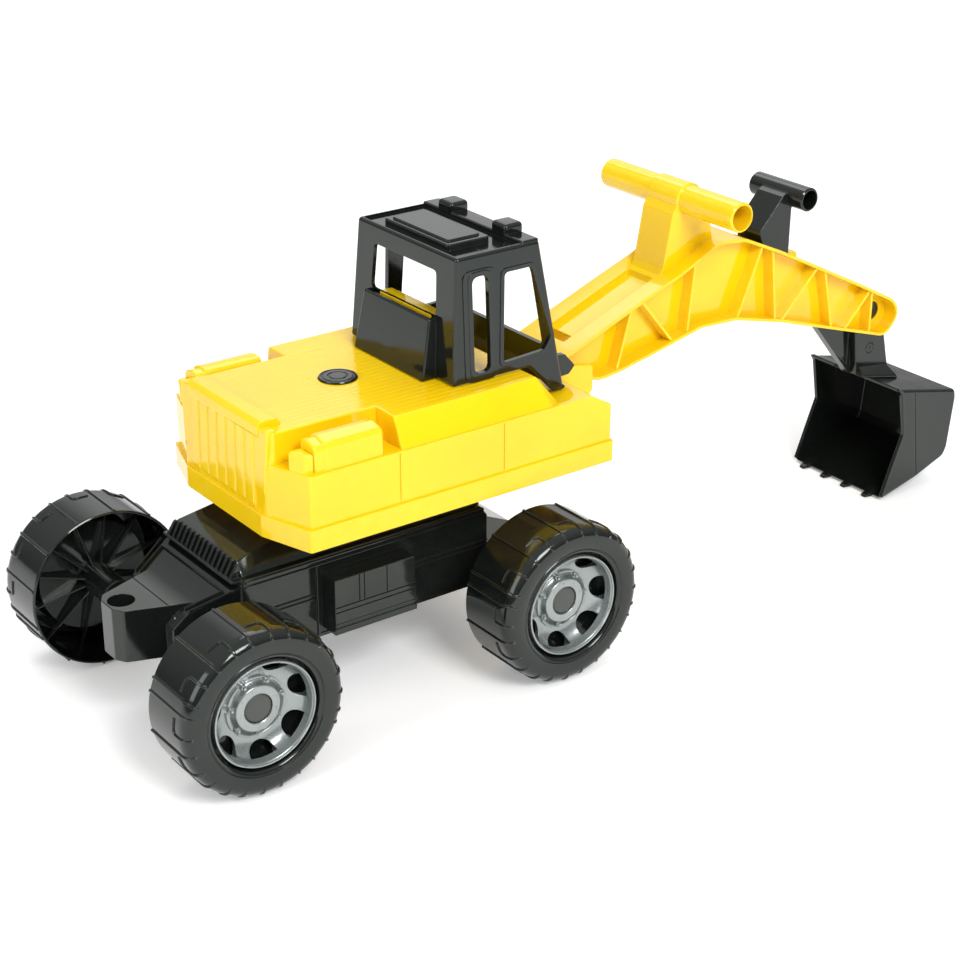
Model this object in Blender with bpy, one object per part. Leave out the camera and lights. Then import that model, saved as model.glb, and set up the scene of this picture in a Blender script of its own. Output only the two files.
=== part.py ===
"""Toy wheeled excavator: chassis on four wheels, slewing body with cab, boom, lever and bucket.

Lengths in this file are millimetres. Positions are taken from the slew axis, with +X forward
to the bucket, +Y left, +Z up and Z = 0 on the ground. SLEW_X moves everything so that X = 0 is
the middle of the overall length.
"""

import math

import bmesh
import bpy
from mathutils import Vector

MM = 0.001
SLEW_X = -170.0
GAP = 0.3
OVERSHOOT = 5.0

# Wheels. Depths run from the wheel's outer face towards the chassis.
WHEEL_RADIUS = 53.0
WHEEL_WIDTH = 44.3
WHEEL_FACE_Y = 118.9
WHEEL_SEGMENTS = 28
TREAD_WALL = 2.6
RIM_RADIUS = 33.2
RIM_SEGMENTS = 28
RIM_WINDOWS = 7
HUB_CAP_RADIUS = 8.9
HUB_TUBE_RADIUS = 9.5
HUB_TUBE_DEPTH = 56.0
AXLE_RADIUS = 2.5
AXLE_HALF_LENGTH = 105.8
AXLE_BORE = 2.9
REAR_AXLE_X = -127.2
FRONT_AXLE_X = 93.3

# Chassis.
FRAME_HALF = 45.5
FRAME_BOTTOM = 45.5
FRAME_TOP = 99.0
FRAME_WALL = 2.5
TURRET_TOP = 124.9
TONGUE_TOP = 84.8
TONGUE_BOTTOM = 50.5
TOW_HOLE_X = -155.2
TOW_HOLE_RADIUS = 7.8
BOX_SPAN = (-44.5, 13.8)
BOX_OUT = 60.5

# Slewing body.
FLANGE_Z = (122.9, 136.9)
BODY_HALF = 78.7
BODY_FRONT = 152.5
BEVEL_X = 140.4
BEVEL_Z = 160.8
LEDGE_Z = 170.0
DECK_Z = 189.5
FRONT_FLOOR_Z = 167.7
BODY_WALL = 2.8
SPINE_HALF = 52.0
DECK_HALF = 71.0

# Slew pin.
PIN_RADIUS = 8.5
PIN_HEAD_RADIUS = 12.1
HUB_RADIUS = 14.0

# Cab.
CAB_WALL = 2.4
CAB_HALF_LOW = 56.9
CAB_HALF_TOP = 53.0
CAB_ROOF_Z = 269.0

# Boom, with its hinge at the body and its pivot for the lever.
HINGE = (157.5, 161.0)
TIP = (451.9, 140.8)
BOOM_HALF = 26.5
WEB_HALF = 15.5
CHANNEL_HALF = 13.3
FLANGE_THICKNESS = 2.2
HINGE_PIN_RADIUS = 3.8
TIP_PIN_RADIUS = 6.9
GRIP = (268.5, 257.5)
GRIP_RADIUS = 9.9
GRIP_HALF = 65.9
CHEEK_Y = (27.5, 31.6)
PIN_SEAT_Y = 30.4

# Lever and bucket.
LEVER_HALF = 12.4
LEVER_SHIN_HALF = 9.0
LEVER_GRIP = (369.3, 242.1)
LEVER_GRIP_RADIUS = 8.3
LEVER_GRIP_HALF = 26.3
GRIP_WALL = 1.6
BUCKET_HALF = 45.8
BUCKET_WALL = 2.2
TOOTH_Y = (-32.5, -10.6, 10.6, 32.5)
TOOTH_WIDTH = 6.8

YELLOW = ("yellow_plastic", (0.95, 0.60, 0.02, 1.0), 0.28, 0.0)
BLACK = ("black_plastic", (0.012, 0.013, 0.013, 1.0), 0.22, 0.0)
SILVER = ("silver_plastic", (0.52, 0.54, 0.55, 1.0), 0.35, 0.6)
GREY = ("grey_plastic", (0.10, 0.10, 0.10, 1.0), 0.5, 0.0)
STEEL = ("steel", (0.60, 0.60, 0.60, 1.0), 0.3, 1.0)


# ------------------------------------------------------------------ building blocks

def clear_scene():
    for thing in list(bpy.data.objects):
        bpy.data.objects.remove(thing, do_unlink=True)


def solid(bm):
    """Turn a closed bmesh in millimetres into a linked object in metres."""
    bmesh.ops.recalc_face_normals(bm, faces=bm.faces)
    for vertex in bm.verts:
        vertex.co = Vector((vertex.co.x + SLEW_X, vertex.co.y, vertex.co.z)) * MM
    mesh = bpy.data.meshes.new("solid")
    bm.to_mesh(mesh)
    bm.free()
    thing = bpy.data.objects.new("solid", mesh)
    bpy.context.collection.objects.link(thing)
    return thing


def hull(points):
    bm = bmesh.new()
    for point in points:
        bm.verts.new(point)
    result = bmesh.ops.convex_hull(bm, input=bm.verts)
    loose = [item for item in result["geom_interior"] if isinstance(item, bmesh.types.BMVert)]
    bmesh.ops.delete(bm, geom=loose, context="VERTS")
    bmesh.ops.dissolve_limit(bm, angle_limit=math.radians(0.5), verts=bm.verts, edges=bm.edges)
    return solid(bm)


def box(xs, ys, zs):
    return hull([(x, y, z) for x in xs for y in ys for z in zs])


def prism(outline, along, low, high):
    """Extrude a flat outline. Along Y the outline is (x, z), along Z (x, y), along X (y, z)."""
    place = {
        "X": lambda a, b, depth: (depth, a, b),
        "Y": lambda a, b, depth: (a, depth, b),
        "Z": lambda a, b, depth: (a, b, depth),
    }[along]
    bm = bmesh.new()
    ends = []
    for depth in (low, high):
        ends.append([bm.verts.new(place(a, b, depth)) for a, b in outline])
    bm.faces.new(ends[0])
    bm.faces.new(reversed(ends[1]))
    count = len(outline)
    for i in range(count):
        j = (i + 1) % count
        bm.faces.new((ends[0][i], ends[0][j], ends[1][j], ends[1][i]))
    return solid(bm)


def lathe(profile, centre, along, segments, closed=True):
    """Turn a profile of (radius, offset) about a line along Y or Z through centre."""
    cx, cy, cz = centre
    bm = bmesh.new()
    rings = []
    for radius, offset in profile:
        ring = []
        steps = segments if radius > 0 else 1
        for i in range(steps):
            angle = 2 * math.pi * (i + 0.5) / segments
            u = radius * math.cos(angle)
            v = radius * math.sin(angle)
            if along == "Y":
                ring.append(bm.verts.new((cx + u, cy + offset, cz + v)))
            else:
                ring.append(bm.verts.new((cx + u, cy + v, cz + offset)))
        rings.append(ring)
    pairs = list(zip(rings, rings[1:]))
    if closed:
        pairs.append((rings[-1], rings[0]))
    for first, second in pairs:
        for i in range(segments):
            j = (i + 1) % segments
            corners = [first[i % len(first)], first[j % len(first)]]
            corners += [second[j % len(second)], second[i % len(second)]]
            bm.faces.new(list(dict.fromkeys(corners)))
    return solid(bm)


def rod(centre, radius, along, low, high, segments=24):
    profile = [(0, low), (radius, low), (radius, high), (0, high)]
    return lathe(profile, centre, along, segments, closed=False)


def combine(base, tool, operation):
    modifier = base.modifiers.new("combine", "BOOLEAN")
    modifier.operation = operation
    modifier.solver = "EXACT"
    modifier.object = tool
    bpy.context.view_layer.update()
    result = base.evaluated_get(bpy.context.evaluated_depsgraph_get())
    mesh = bpy.data.meshes.new_from_object(result)
    base.modifiers.clear()
    base.data = mesh
    bpy.data.objects.remove(tool, do_unlink=True)


def add(base, *tools):
    for tool in tools:
        combine(base, tool, "UNION")


def cut(base, *tools):
    for tool in tools:
        combine(base, tool, "DIFFERENCE")


def material(kind):
    name, colour, roughness, metallic = kind
    if name in bpy.data.materials:
        return bpy.data.materials[name]
    made = bpy.data.materials.new(name)
    made.use_nodes = True
    shader = made.node_tree.nodes["Principled BSDF"]
    shader.inputs["Base Color"].default_value = colour
    shader.inputs["Roughness"].default_value = roughness
    shader.inputs["Metallic"].default_value = metallic
    return made


def finish(thing, name, kind, origin=(0.0, 0.0, 0.0)):
    """Name the part, clean its mesh, give it its material and put its origin on its axis."""
    bm = bmesh.new()
    bm.from_mesh(thing.data)
    bmesh.ops.remove_doubles(bm, verts=bm.verts, dist=0.02 * MM)
    bmesh.ops.dissolve_limit(bm, angle_limit=math.radians(0.3), verts=bm.verts, edges=bm.edges)
    point = Vector((origin[0] + SLEW_X, origin[1], origin[2])) * MM
    bmesh.ops.translate(bm, vec=-point, verts=bm.verts)
    bmesh.ops.triangulate(bm, faces=bm.faces)
    bm.to_mesh(thing.data)
    bm.free()
    thing.location = point
    thing.name = name
    thing.data.name = name
    thing.data.materials.clear()
    thing.data.materials.append(material(kind))
    thing.data.shade_smooth()
    thing.data.set_sharp_from_angle(angle=math.radians(30))
    return thing


def both_sides(points):
    return [(x, side * y, z) for x, y, z in points for side in (-1, 1)]


def inset(outline, distance):
    """Move each side of a closed outline inwards by distance and meet them again."""
    count = len(outline)
    area = 0.0
    for i in range(count):
        (ax, ay), (bx, by) = outline[i], outline[(i + 1) % count]
        area += ax * by - bx * ay
    turn = 1.0 if area > 0 else -1.0
    moved = []
    for i in range(count):
        a = Vector(outline[i - 1])
        b = Vector(outline[i])
        c = Vector(outline[(i + 1) % count])
        first = (b - a).normalized()
        second = (c - b).normalized()
        normal_a = Vector((-first.y, first.x)) * turn
        normal_b = Vector((-second.y, second.x)) * turn
        middle = (normal_a + normal_b).normalized()
        reach = distance / max(0.3, middle.dot(normal_a))
        moved.append(tuple(b + middle * reach))
    return moved


# ------------------------------------------------------------------ chassis and running gear

def chassis_frame():
    frame = hull(both_sides([
        (-99.2, FRAME_HALF, FRAME_BOTTOM), (-99.2, FRAME_HALF, 95.4),
        (-96.5, FRAME_HALF, FRAME_TOP), (75.0, FRAME_HALF, FRAME_TOP),
        (80.0, FRAME_HALF, 92.0), (80.0, FRAME_HALF, FRAME_BOTTOM),
    ]))
    nose = hull(both_sides([
        (78.0, 44.0, 92.0), (78.0, 44.0, FRAME_BOTTOM + 1),
        (106.0, 34.0, 76.0), (110.0, 32.0, 70.0), (110.0, 32.0, FRAME_BOTTOM + 1),
    ]))
    tail = hull(both_sides([
        (-98.0, 44.9, 94.8), (-98.0, 44.9, FRAME_BOTTOM + 1),
        (-130.2, 33.7, 81.3), (-138.0, 30.0, 72.0), (-138.0, 30.0, FRAME_BOTTOM + 1),
    ]))
    turret = hull(both_sides([
        (-96.7, 42.0, FRAME_TOP - 2), (-96.7, 36.0, 107.5),
        (74.0, 42.0, FRAME_TOP - 2), (70.0, 36.0, 107.5),
        (-20.0, 27.0, TURRET_TOP), (30.0, 27.0, TURRET_TOP),
    ]))
    tongue = prism([
        (-165.0, -7.0), (-161.0, -13.5), (-117.0, -29.5), (-90.0, -29.5),
        (-90.0, 29.5), (-117.0, 29.5), (-161.0, 13.5), (-165.0, 7.0),
    ], "Z", TONGUE_BOTTOM, TONGUE_TOP)
    add(frame, nose, tail, turret, tongue)
    for side in (-1, 1):
        tool_box = box(BOX_SPAN, (side * 44.0, side * BOX_OUT), (52.2, 88.5))
        plinth = box((BOX_SPAN[0] - 0.8, BOX_SPAN[1] + 0.8), (side * 44.0, side * (BOX_OUT + 1)), (52.0, 59.0))
        upper_rail = box((-96.0, 75.5), (side * 44.0, side * (FRAME_HALF + 1.2)), (94.6, 97.2))
        lower_rail = box((-96.0, 79.0), (side * 44.0, side * (FRAME_HALF + 1.1)), (72.6, 75.2))
        add(frame, tool_box, plinth, upper_rail, lower_rail)
        for axle_x, reach in ((REAR_AXLE_X, 28.0), (FRONT_AXLE_X, 36.0)):
            low, high = sorted((side * reach, side * 60.0))
            add(frame, rod((axle_x, 0, WHEEL_RADIUS), 7.5, "Y", low, high, 16))
    wall = FRAME_WALL
    cavity = box((-97.0, 77.5), (-FRAME_HALF + wall, FRAME_HALF - wall), (FRAME_BOTTOM - 5, FRAME_TOP - wall))
    add(cavity, hull(both_sides([
        (-93.0, 36.0, 90.0), (-90.0, 33.5, 104.5), (70.0, 36.0, 90.0), (66.0, 33.5, 104.5),
        (-20.0, 24.0, TURRET_TOP - wall - 0.4), (30.0, 24.0, TURRET_TOP - wall - 0.4),
    ])))
    cut(frame, cavity)
    cut(frame, box((82.0, 104.0), (-30.0, 30.0), (FRAME_BOTTOM - 5, 73.0)))
    cut(frame, box((-134.0, -100.0), (-26.0, 26.0), (FRAME_BOTTOM - 5, 78.0)))
    cut(frame, rod((TOW_HOLE_X, 0, 0), TOW_HOLE_RADIUS, "Z", TONGUE_BOTTOM - 5, TONGUE_TOP + 5))
    cut(frame, rod((0, 0, 0), PIN_RADIUS + GAP, "Z", 80.0, TURRET_TOP + 5))
    for axle_x in (REAR_AXLE_X, FRONT_AXLE_X):
        cut(frame, rod((axle_x, 0, WHEEL_RADIUS), AXLE_BORE, "Y", -70.0, 70.0, 12))
    return finish(frame, "chassis_frame", BLACK)


def axle(name, axle_x):
    ends = AXLE_HALF_LENGTH
    made = rod((axle_x, 0, WHEEL_RADIUS), AXLE_RADIUS, "Y", -ends, ends, 12)
    return finish(made, name, STEEL, (axle_x, 0, WHEEL_RADIUS))


def turned(profile, axle_x, side, segments, closed=True):
    """Turn a profile of (radius, depth below the wheel's outer face) about an axle."""
    placed = [(radius, side * (WHEEL_FACE_Y - depth)) for radius, depth in profile]
    return lathe(placed, (axle_x, 0, WHEEL_RADIUS), "Y", segments, closed)


def wheel(name, axle_x, side):
    radius = WHEEL_RADIUS / math.cos(math.pi / WHEEL_SEGMENTS)
    inside = radius - TREAD_WALL
    made = turned([
        (46.0, 0.0), (50.6, 1.4), (radius, 5.5), (radius, 43.0), (radius - 1.2, WHEEL_WIDTH),
        (inside, WHEEL_WIDTH), (inside, 7.5), (47.5, 3.6), (39.2, 3.4), (37.0, 20.8),
        (HUB_TUBE_RADIUS, 20.8), (HUB_TUBE_RADIUS, HUB_TUBE_DEPTH), (AXLE_BORE, HUB_TUBE_DEPTH),
        (AXLE_BORE, 18.2), (34.0, 18.2), (36.6, 0.6),
    ], axle_x, side, WHEEL_SEGMENTS)
    return finish(made, name, BLACK, (axle_x, 0, WHEEL_RADIUS))


def rim(name, axle_x, side):
    made = turned([
        (RIM_RADIUS, 3.4), (RIM_RADIUS, 13.4), (30.6, 13.6), (23.0, 17.2), (HUB_CAP_RADIUS + GAP, 17.8),
        (HUB_CAP_RADIUS + GAP, 10.4), (14.2, 10.4), (16.8, 14.6), (22.5, 14.6), (30.3, 10.6), (31.8, 3.4),
    ], axle_x, side, RIM_SEGMENTS)
    low, high = sorted((side * (WHEEL_FACE_Y - 18.1), side * WHEEL_FACE_Y))
    for window in range(RIM_WINDOWS):
        middle = math.pi / 2 + 2 * math.pi * window / RIM_WINDOWS
        outline = []
        for radius, half_angle in ((22.9, -7), (25.6, -13.5), (30.1, -16.5), (30.1, 16.5), (25.6, 13.5), (22.9, 7)):
            angle = middle + math.radians(half_angle)
            outline.append((axle_x + radius * math.cos(angle), WHEEL_RADIUS + radius * math.sin(angle)))
        cut(made, prism(outline, "Y", low, high))
    return finish(made, name, SILVER, (axle_x, 0, WHEEL_RADIUS))


def hub_cap(name, axle_x, side):
    made = turned([
        (0, 10.6), (8.0, 10.6), (HUB_CAP_RADIUS, 11.3), (HUB_CAP_RADIUS, 17.9),
        (AXLE_BORE, 17.9), (AXLE_BORE, 12.8), (0, 12.8),
    ], axle_x, side, 20, closed=False)
    return finish(made, name, GREY, (axle_x, 0, WHEEL_RADIUS))


def running_gear():
    for end, axle_x in (("front", FRONT_AXLE_X), ("rear", REAR_AXLE_X)):
        axle(end + "_axle", axle_x)
        for hand, side in (("left", 1), ("right", -1)):
            place = "_" + end + "_" + hand
            wheel("wheel" + place, axle_x, side)
            rim("rim" + place, axle_x, side)
            hub_cap("hub_cap" + place, axle_x, side)


def slew_pin():
    made = lathe([
        (0, 112.0), (PIN_RADIUS - 1.5, 112.0), (PIN_RADIUS, 114.0), (PIN_RADIUS, 187.6),
        (PIN_HEAD_RADIUS, 187.6), (PIN_HEAD_RADIUS, 189.0), (0, 189.0),
    ], (0, 0, 0), "Z", 24, closed=False)
    return finish(made, "slew_pin", BLACK)


def slew_retainer():
    inner = PIN_RADIUS + GAP
    made = lathe([(inner, 117.6), (15.0, 117.6), (15.0, 121.4), (inner, 121.4)], (0, 0, 0), "Z", 24)
    return finish(made, "slew_retainer", STEEL)


# ------------------------------------------------------------------ slewing body and cab

def body_plan(front, grow):
    """Plan of the body with its cut-off rear corners, reaching forward to front."""
    half = BODY_HALF + grow
    plan = [(-81.5 - grow, -44.0), (-70.0 - grow, -half), (front, -half)]
    return plan + [(x, -y) for x, y in reversed(plan)]


def superstructure_body():
    wall_plan = body_plan(BODY_FRONT, 0.0)
    rear_plan = body_plan(112.0, 0.0)
    body = prism(body_plan(BODY_FRONT + 0.9, 1.8), "Z", *FLANGE_Z)
    add(body, prism(wall_plan, "Z", FLANGE_Z[1] - 1, BEVEL_Z))
    add(body, prism(rear_plan, "Z", BEVEL_Z - 1, LEDGE_Z))
    front_block = [(110.0, BEVEL_Z - 1), (110.0, FRONT_FLOOR_Z), (BEVEL_X, FRONT_FLOOR_Z)]
    front_block += [(BODY_FRONT - 0.1, BEVEL_Z), (BODY_FRONT - 0.1, BEVEL_Z - 1)]
    add(body, prism(front_block, "Y", 0.05 - BODY_HALF, BODY_HALF - 0.05))
    shoulder = BODY_HALF - 0.8
    add(body, hull(both_sides([
        (-9.0, shoulder, LEDGE_Z - 1), (106.0, shoulder, LEDGE_Z - 1),
        (-7.0, DECK_HALF, DECK_Z), (98.4, DECK_HALF, DECK_Z), (117.0, DECK_HALF, FRONT_FLOOR_Z - 1),
    ])))
    add(body, hull(both_sides([
        (-81.3, 43.9, LEDGE_Z - 2), (-78.4, SPINE_HALF, LEDGE_Z - 2),
        (-79.5, 43.5, DECK_Z), (-76.8, SPINE_HALF, DECK_Z),
        (20.0, SPINE_HALF, DECK_Z), (20.0, SPINE_HALF, LEDGE_Z - 2),
    ])))
    add(body, hull(both_sides([
        (-78.6, 43.0, DECK_Z - 1), (-77.0, 42.0, 193.2), (-73.0, 49.5, 193.2),
        (-65.5, 49.5, 193.2), (-63.5, 50.5, DECK_Z - 1), (-74.4, 50.5, DECK_Z - 1),
    ])))
    for side in (-1, 1):
        low, high = sorted((side * 74.6, side * (BODY_HALF - 0.1)))
        parapet = [(108.0, FRONT_FLOOR_Z - 1), (108.0, LEDGE_Z - 0.1), (136.4, LEDGE_Z - 0.1)]
        parapet += [(BEVEL_X - 0.2, FRONT_FLOOR_Z), (BEVEL_X - 0.2, FRONT_FLOOR_Z - 1)]
        add(body, prism(parapet, "Y", low, high))
        tank = [(60.5, 168.5), (60.5, 180.8), (63.0, 185.0), (67.3, 187.0), (72.0, 187.0), (76.2, 185.0)]
        tank += [(78.2, 180.8), (78.2, 168.5)]
        add(body, prism([(side * y, z) for y, z in tank], "X", -63.0, -9.8))
        add(body, hull([(x, side * y, z) for x, y in (
            (-74.3, 61.5), (-74.3, 64.5), (-70.5, 75.0), (-62.0, 77.0), (-62.0, 61.5),
        ) for z in (168.5, 179.6)]))
        add(body, prism(cheek_outline(), "Y", *sorted((side * CHEEK_Y[0], side * CHEEK_Y[1]))))
    cavity = prism(inset(wall_plan, BODY_WALL), "Z", FLANGE_Z[0] - 5, BEVEL_Z - BODY_WALL - 0.5)
    deep = BODY_HALF - BODY_WALL - 0.2
    add(cavity, box((-50.0, 134.0), (-deep, deep), (150.0, FRONT_FLOOR_Z - BODY_WALL)))
    add(cavity, prism(inset(rear_plan, BODY_WALL + 0.2), "Z", 150.0, LEDGE_Z - BODY_WALL))
    add(cavity, hull(both_sides([
        (-74.0, SPINE_HALF - BODY_WALL - 5, 164.0), (-72.0, SPINE_HALF - BODY_WALL - 5, DECK_Z - BODY_WALL),
        (95.0, SPINE_HALF - BODY_WALL, DECK_Z - BODY_WALL), (104.0, SPINE_HALF - BODY_WALL, 164.0),
    ])))
    cut(cavity, box((132.0, 158.0), (-CHEEK_Y[1], CHEEK_Y[1]), (110.0, 172.0)))
    cut(body, cavity)
    cut(body, box((138.5, 158.0), (-CHEEK_Y[0], CHEEK_Y[0]), (FLANGE_Z[1] + 0.6, 172.0)))
    hinge_centre = (HINGE[0], 0, HINGE[1])
    cut(body, rod(hinge_centre, HINGE_PIN_RADIUS + GAP, "Y", -PIN_SEAT_Y, PIN_SEAT_Y, 16))
    hub = rod((0, 0, 0), HUB_RADIUS, "Z", TURRET_TOP + GAP, DECK_Z - 1.5)
    add(body, hub)
    cut(body, rod((0, 0, 0), PIN_RADIUS + GAP, "Z", 120.0, 195.0))
    cut(body, rod((0, 0, 0), PIN_HEAD_RADIUS + GAP, "Z", 187.3, 195.0))
    seat_back = box((52.5, 59.0), (-28.0, 28.0), (DECK_Z - 1, 226.3))
    seat_cushion = box((54.0, 84.0), (-21.5, 21.5), (DECK_Z - 1.2, 203.0))
    add(body, seat_back, seat_cushion)
    return finish(body, "superstructure_body", YELLOW)


def cheek_outline():
    return [(134.0, 146.5), (172.0, 146.5), (175.6, 149.5), (175.6, 167.5), (150.0, 172.0), (134.0, 166.0)]


def boom_hinge_pin():
    reach = PIN_SEAT_Y - GAP
    made = rod((HINGE[0], 0, HINGE[1]), HINGE_PIN_RADIUS, "Y", -reach, reach, 16)
    return finish(made, "boom_hinge_pin", STEEL, (HINGE[0], 0, HINGE[1]))


def cab_half(z):
    share = (z - DECK_Z) / (CAB_ROOF_Z - DECK_Z)
    return CAB_HALF_LOW + share * (CAB_HALF_TOP - CAB_HALF_LOW)


def leaning_prism(outline, offset):
    """Extrude an (x, z) outline across the cab, following the lean of its sides."""
    bm = bmesh.new()
    ends = []
    for side in (-1, 1):
        ends.append([bm.verts.new((x, side * (cab_half(z) - offset), z)) for x, z in outline])
    bm.faces.new(ends[0])
    bm.faces.new(reversed(ends[1]))
    count = len(outline)
    for i in range(count):
        j = (i + 1) % count
        bm.faces.new((ends[0][i], ends[0][j], ends[1][j], ends[1][i]))
    return solid(bm)


def cab():
    bottom = DECK_Z + GAP
    roof = CAB_ROOF_Z
    shell = leaning_prism([
        (46.2, bottom), (51.3, roof), (112.8, roof), (127.2, FRONT_FLOOR_Z + 3.4),
        (120.0, FRONT_FLOOR_Z + 1.1), (104.0, bottom),
    ], 0.0)
    rear_panel = hull(both_sides([
        (36.3, 37.9, bottom), (43.4, 35.6, 227.9), (49.0, 35.6, 227.9), (47.6, 37.9, bottom),
    ]))
    add(shell, rear_panel)
    wall = CAB_WALL
    cavity = leaning_prism([
        (46.2 + wall, bottom - 3), (51.3 + wall, roof - wall - 1.5), (112.8 - wall, roof - wall - 1.5),
        (127.2 - wall, FRONT_FLOOR_Z - 2), (100.0, FRONT_FLOOR_Z - 2),
    ], wall)
    add(cavity, hull(both_sides([
        (39.0, 35.3, bottom - 3), (46.8, 32.4, 232.0), (50.5, 32.4, 232.0), (50.5, 35.3, bottom - 3),
    ])))
    cut(shell, cavity)
    cut(shell, box((51.0 + 2.5, 111.3 - 1.5), (-50.3, 50.3), (roof - 1.6, roof + 5)))
    rear_window = hull(both_sides([
        (30.0, 33.3, 229.0), (30.0, 31.0, 256.6), (60.0, 33.3, 229.0), (60.0, 31.0, 256.6),
    ]))
    front_window = hull(both_sides([
        (104.0, 45.0, 197.0), (104.0, 43.0, 256.0), (135.0, 45.0, 197.0), (135.0, 43.0, 256.0),
    ]))
    slot = [(61.3, 198.0), (64.0, 195.3), (70.0, 195.3), (73.4, 198.0), (73.4, 252.5), (70.0, 255.9)]
    slot += [(65.5, 255.9), (62.0, 252.5)]
    side_window = [(84.8, 200.6), (111.5, 200.6), (114.0, 205.0), (105.0, 252.0), (102.5, 254.4)]
    side_window += [(89.0, 254.4), (86.6, 252.0)]
    cut(shell, rear_window, front_window)
    cut(shell, prism(slot, "Y", -70.0, 70.0), prism(side_window, "Y", -70.0, 70.0))
    hatch = box((57.5, 90.0), (-35.5, 35.5), (roof - 2.5, roof + 3.0))
    bar = box((100.5, 113.6), (-52.6, 52.6), (roof - 2.5, roof + 1.4))
    add(shell, hatch, bar)
    for side in (-1, 1):
        beacon_y = sorted((side * 20.5, side * 36.0))
        add(shell, box((100.0, 114.6), beacon_y, (roof - 1.5, roof + 7.4)))
        hook = [(122.0, 172.0), (141.0, 172.6), (144.0, 177.5), (136.0, 185.5), (122.0, 187.7)]
        add(shell, prism(hook, "Y", *sorted((side * 40.5, side * 45.5))))
    return finish(shell, "cab", BLACK)


# ------------------------------------------------------------------ boom, lever and bucket

def boom_outline():
    hinge_x, hinge_z = HINGE
    tip_x, tip_z = TIP
    lower = [(178.6, 151.0), (204.0, 154.3), (238.5, 161.3), (274.0, 169.3), (306.0, 168.0)]
    lower += [(349.3, 157.2), (399.7, 141.0), (455.2, 123.5)]
    nose = [(464.8, 130.0), (469.8, 140.6), (463.5, 150.4)]
    upper = [(427.3, 169.4), (385.3, 190.5), (344.9, 210.6), (311.1, 225.6), (288.3, 227.9)]
    upper += [(270.8, 220.1), (253.6, 212.4), (219.4, 199.9), (185.9, 187.0), (160.0, 177.0)]
    heel = [(hinge_x + 16 * math.cos(angle), hinge_z + 16 * math.sin(angle))
            for angle in (math.radians(step) for step in (120, 150, 180, 210, 240))]
    return lower + nose + upper + heel


def boom():
    outline = boom_outline()
    body = prism(outline, "Y", -BOOM_HALF, BOOM_HALF)
    pocket = inset(outline, FLANGE_THICKNESS)
    for side in (-1, 1):
        low, high = sorted((side * WEB_HALF, side * (BOOM_HALF + OVERSHOOT)))
        recess = prism(pocket, "Y", low, high)
        for foot, head in boom_ribs():
            cut(recess, rib(foot, head, side))
        cut(body, recess)
    channel = [(330.0, 230.0), (344.0, 190.0), (352.0, 172.0), (394.0, 158.0), (388.0, 120.0), (480.0, 100.0)]
    channel += [(480.0, 165.0), (440.0, 195.0), (368.0, 230.0)]
    cut(body, prism(channel, "Y", -CHANNEL_HALF, CHANNEL_HALF))
    hollow = [(140.0, 130.0), (140.0, 172.0), (180.0, 180.0), (285.0, 218.0), (312.0, 215.0), (328.0, 200.0)]
    hollow += [(334.0, 150.0), (250.0, 150.0)]
    cut(body, prism(hollow, "Y", -CHANNEL_HALF, CHANNEL_HALF))
    post = [(246.5, 208.0), (254.0, 250.0), (262.0, 262.0), (278.0, 262.0), (289.5, 242.0), (290.5, 222.0)]
    add(body, prism(post, "Y", -15.0, 15.0))
    grip_centre = (GRIP[0], 0, GRIP[1])
    add(body, rod(grip_centre, GRIP_RADIUS + 1.3, "Y", -17.0, 17.0, 20))
    add(body, rod(grip_centre, GRIP_RADIUS, "Y", -GRIP_HALF, GRIP_HALF, 20))
    for side in (-1, 1):
        low, high = sorted((side * 3.0, side * (GRIP_HALF + OVERSHOOT)))
        cut(body, rod(grip_centre, GRIP_RADIUS - GRIP_WALL, "Y", low, high, 20))
    cut(body, rod((HINGE[0], 0, HINGE[1]), HINGE_PIN_RADIUS + GAP, "Y", -40.0, 40.0, 16))
    cut(body, rod((TIP[0], 0, TIP[1]), TIP_PIN_RADIUS + GAP, "Y", -40.0, 40.0, 20))
    return finish(body, "boom", YELLOW, (HINGE[0], 0, HINGE[1]))


def boom_ribs():
    """Foot and head of each stiffening rib in the boom's side pockets."""
    return (
        ((200.0, 151.0), (214.0, 200.0)), ((252.0, 162.0), (219.0, 202.0)), ((262.0, 164.0), (268.0, 222.0)),
        ((306.0, 164.0), (330.0, 220.0)), ((345.0, 155.0), (338.0, 217.0)), ((348.0, 155.0), (386.0, 193.0)),
        ((402.0, 138.0), (390.0, 191.0)), ((412.0, 134.0), (441.0, 164.0)), ((441.0, 125.0), (441.0, 165.0)),
    )


def rib(foot, head, side, half=0.9):
    direction = (Vector(head) - Vector(foot)).normalized()
    across = Vector((-direction.y, direction.x)) * half
    corners = [Vector(foot) - across, Vector(foot) + across, Vector(head) + across, Vector(head) - across]
    low, high = sorted((side * (WEB_HALF - 1), side * (BOOM_HALF - 1.5)))
    return prism([tuple(corner) for corner in corners], "Y", low, high)


def lever_pivot_pin():
    made = rod((TIP[0], 0, TIP[1]), TIP_PIN_RADIUS, "Y", -WEB_HALF, WEB_HALF, 20)
    return finish(made, "lever_pivot_pin", BLACK, (TIP[0], 0, TIP[1]))


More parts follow.
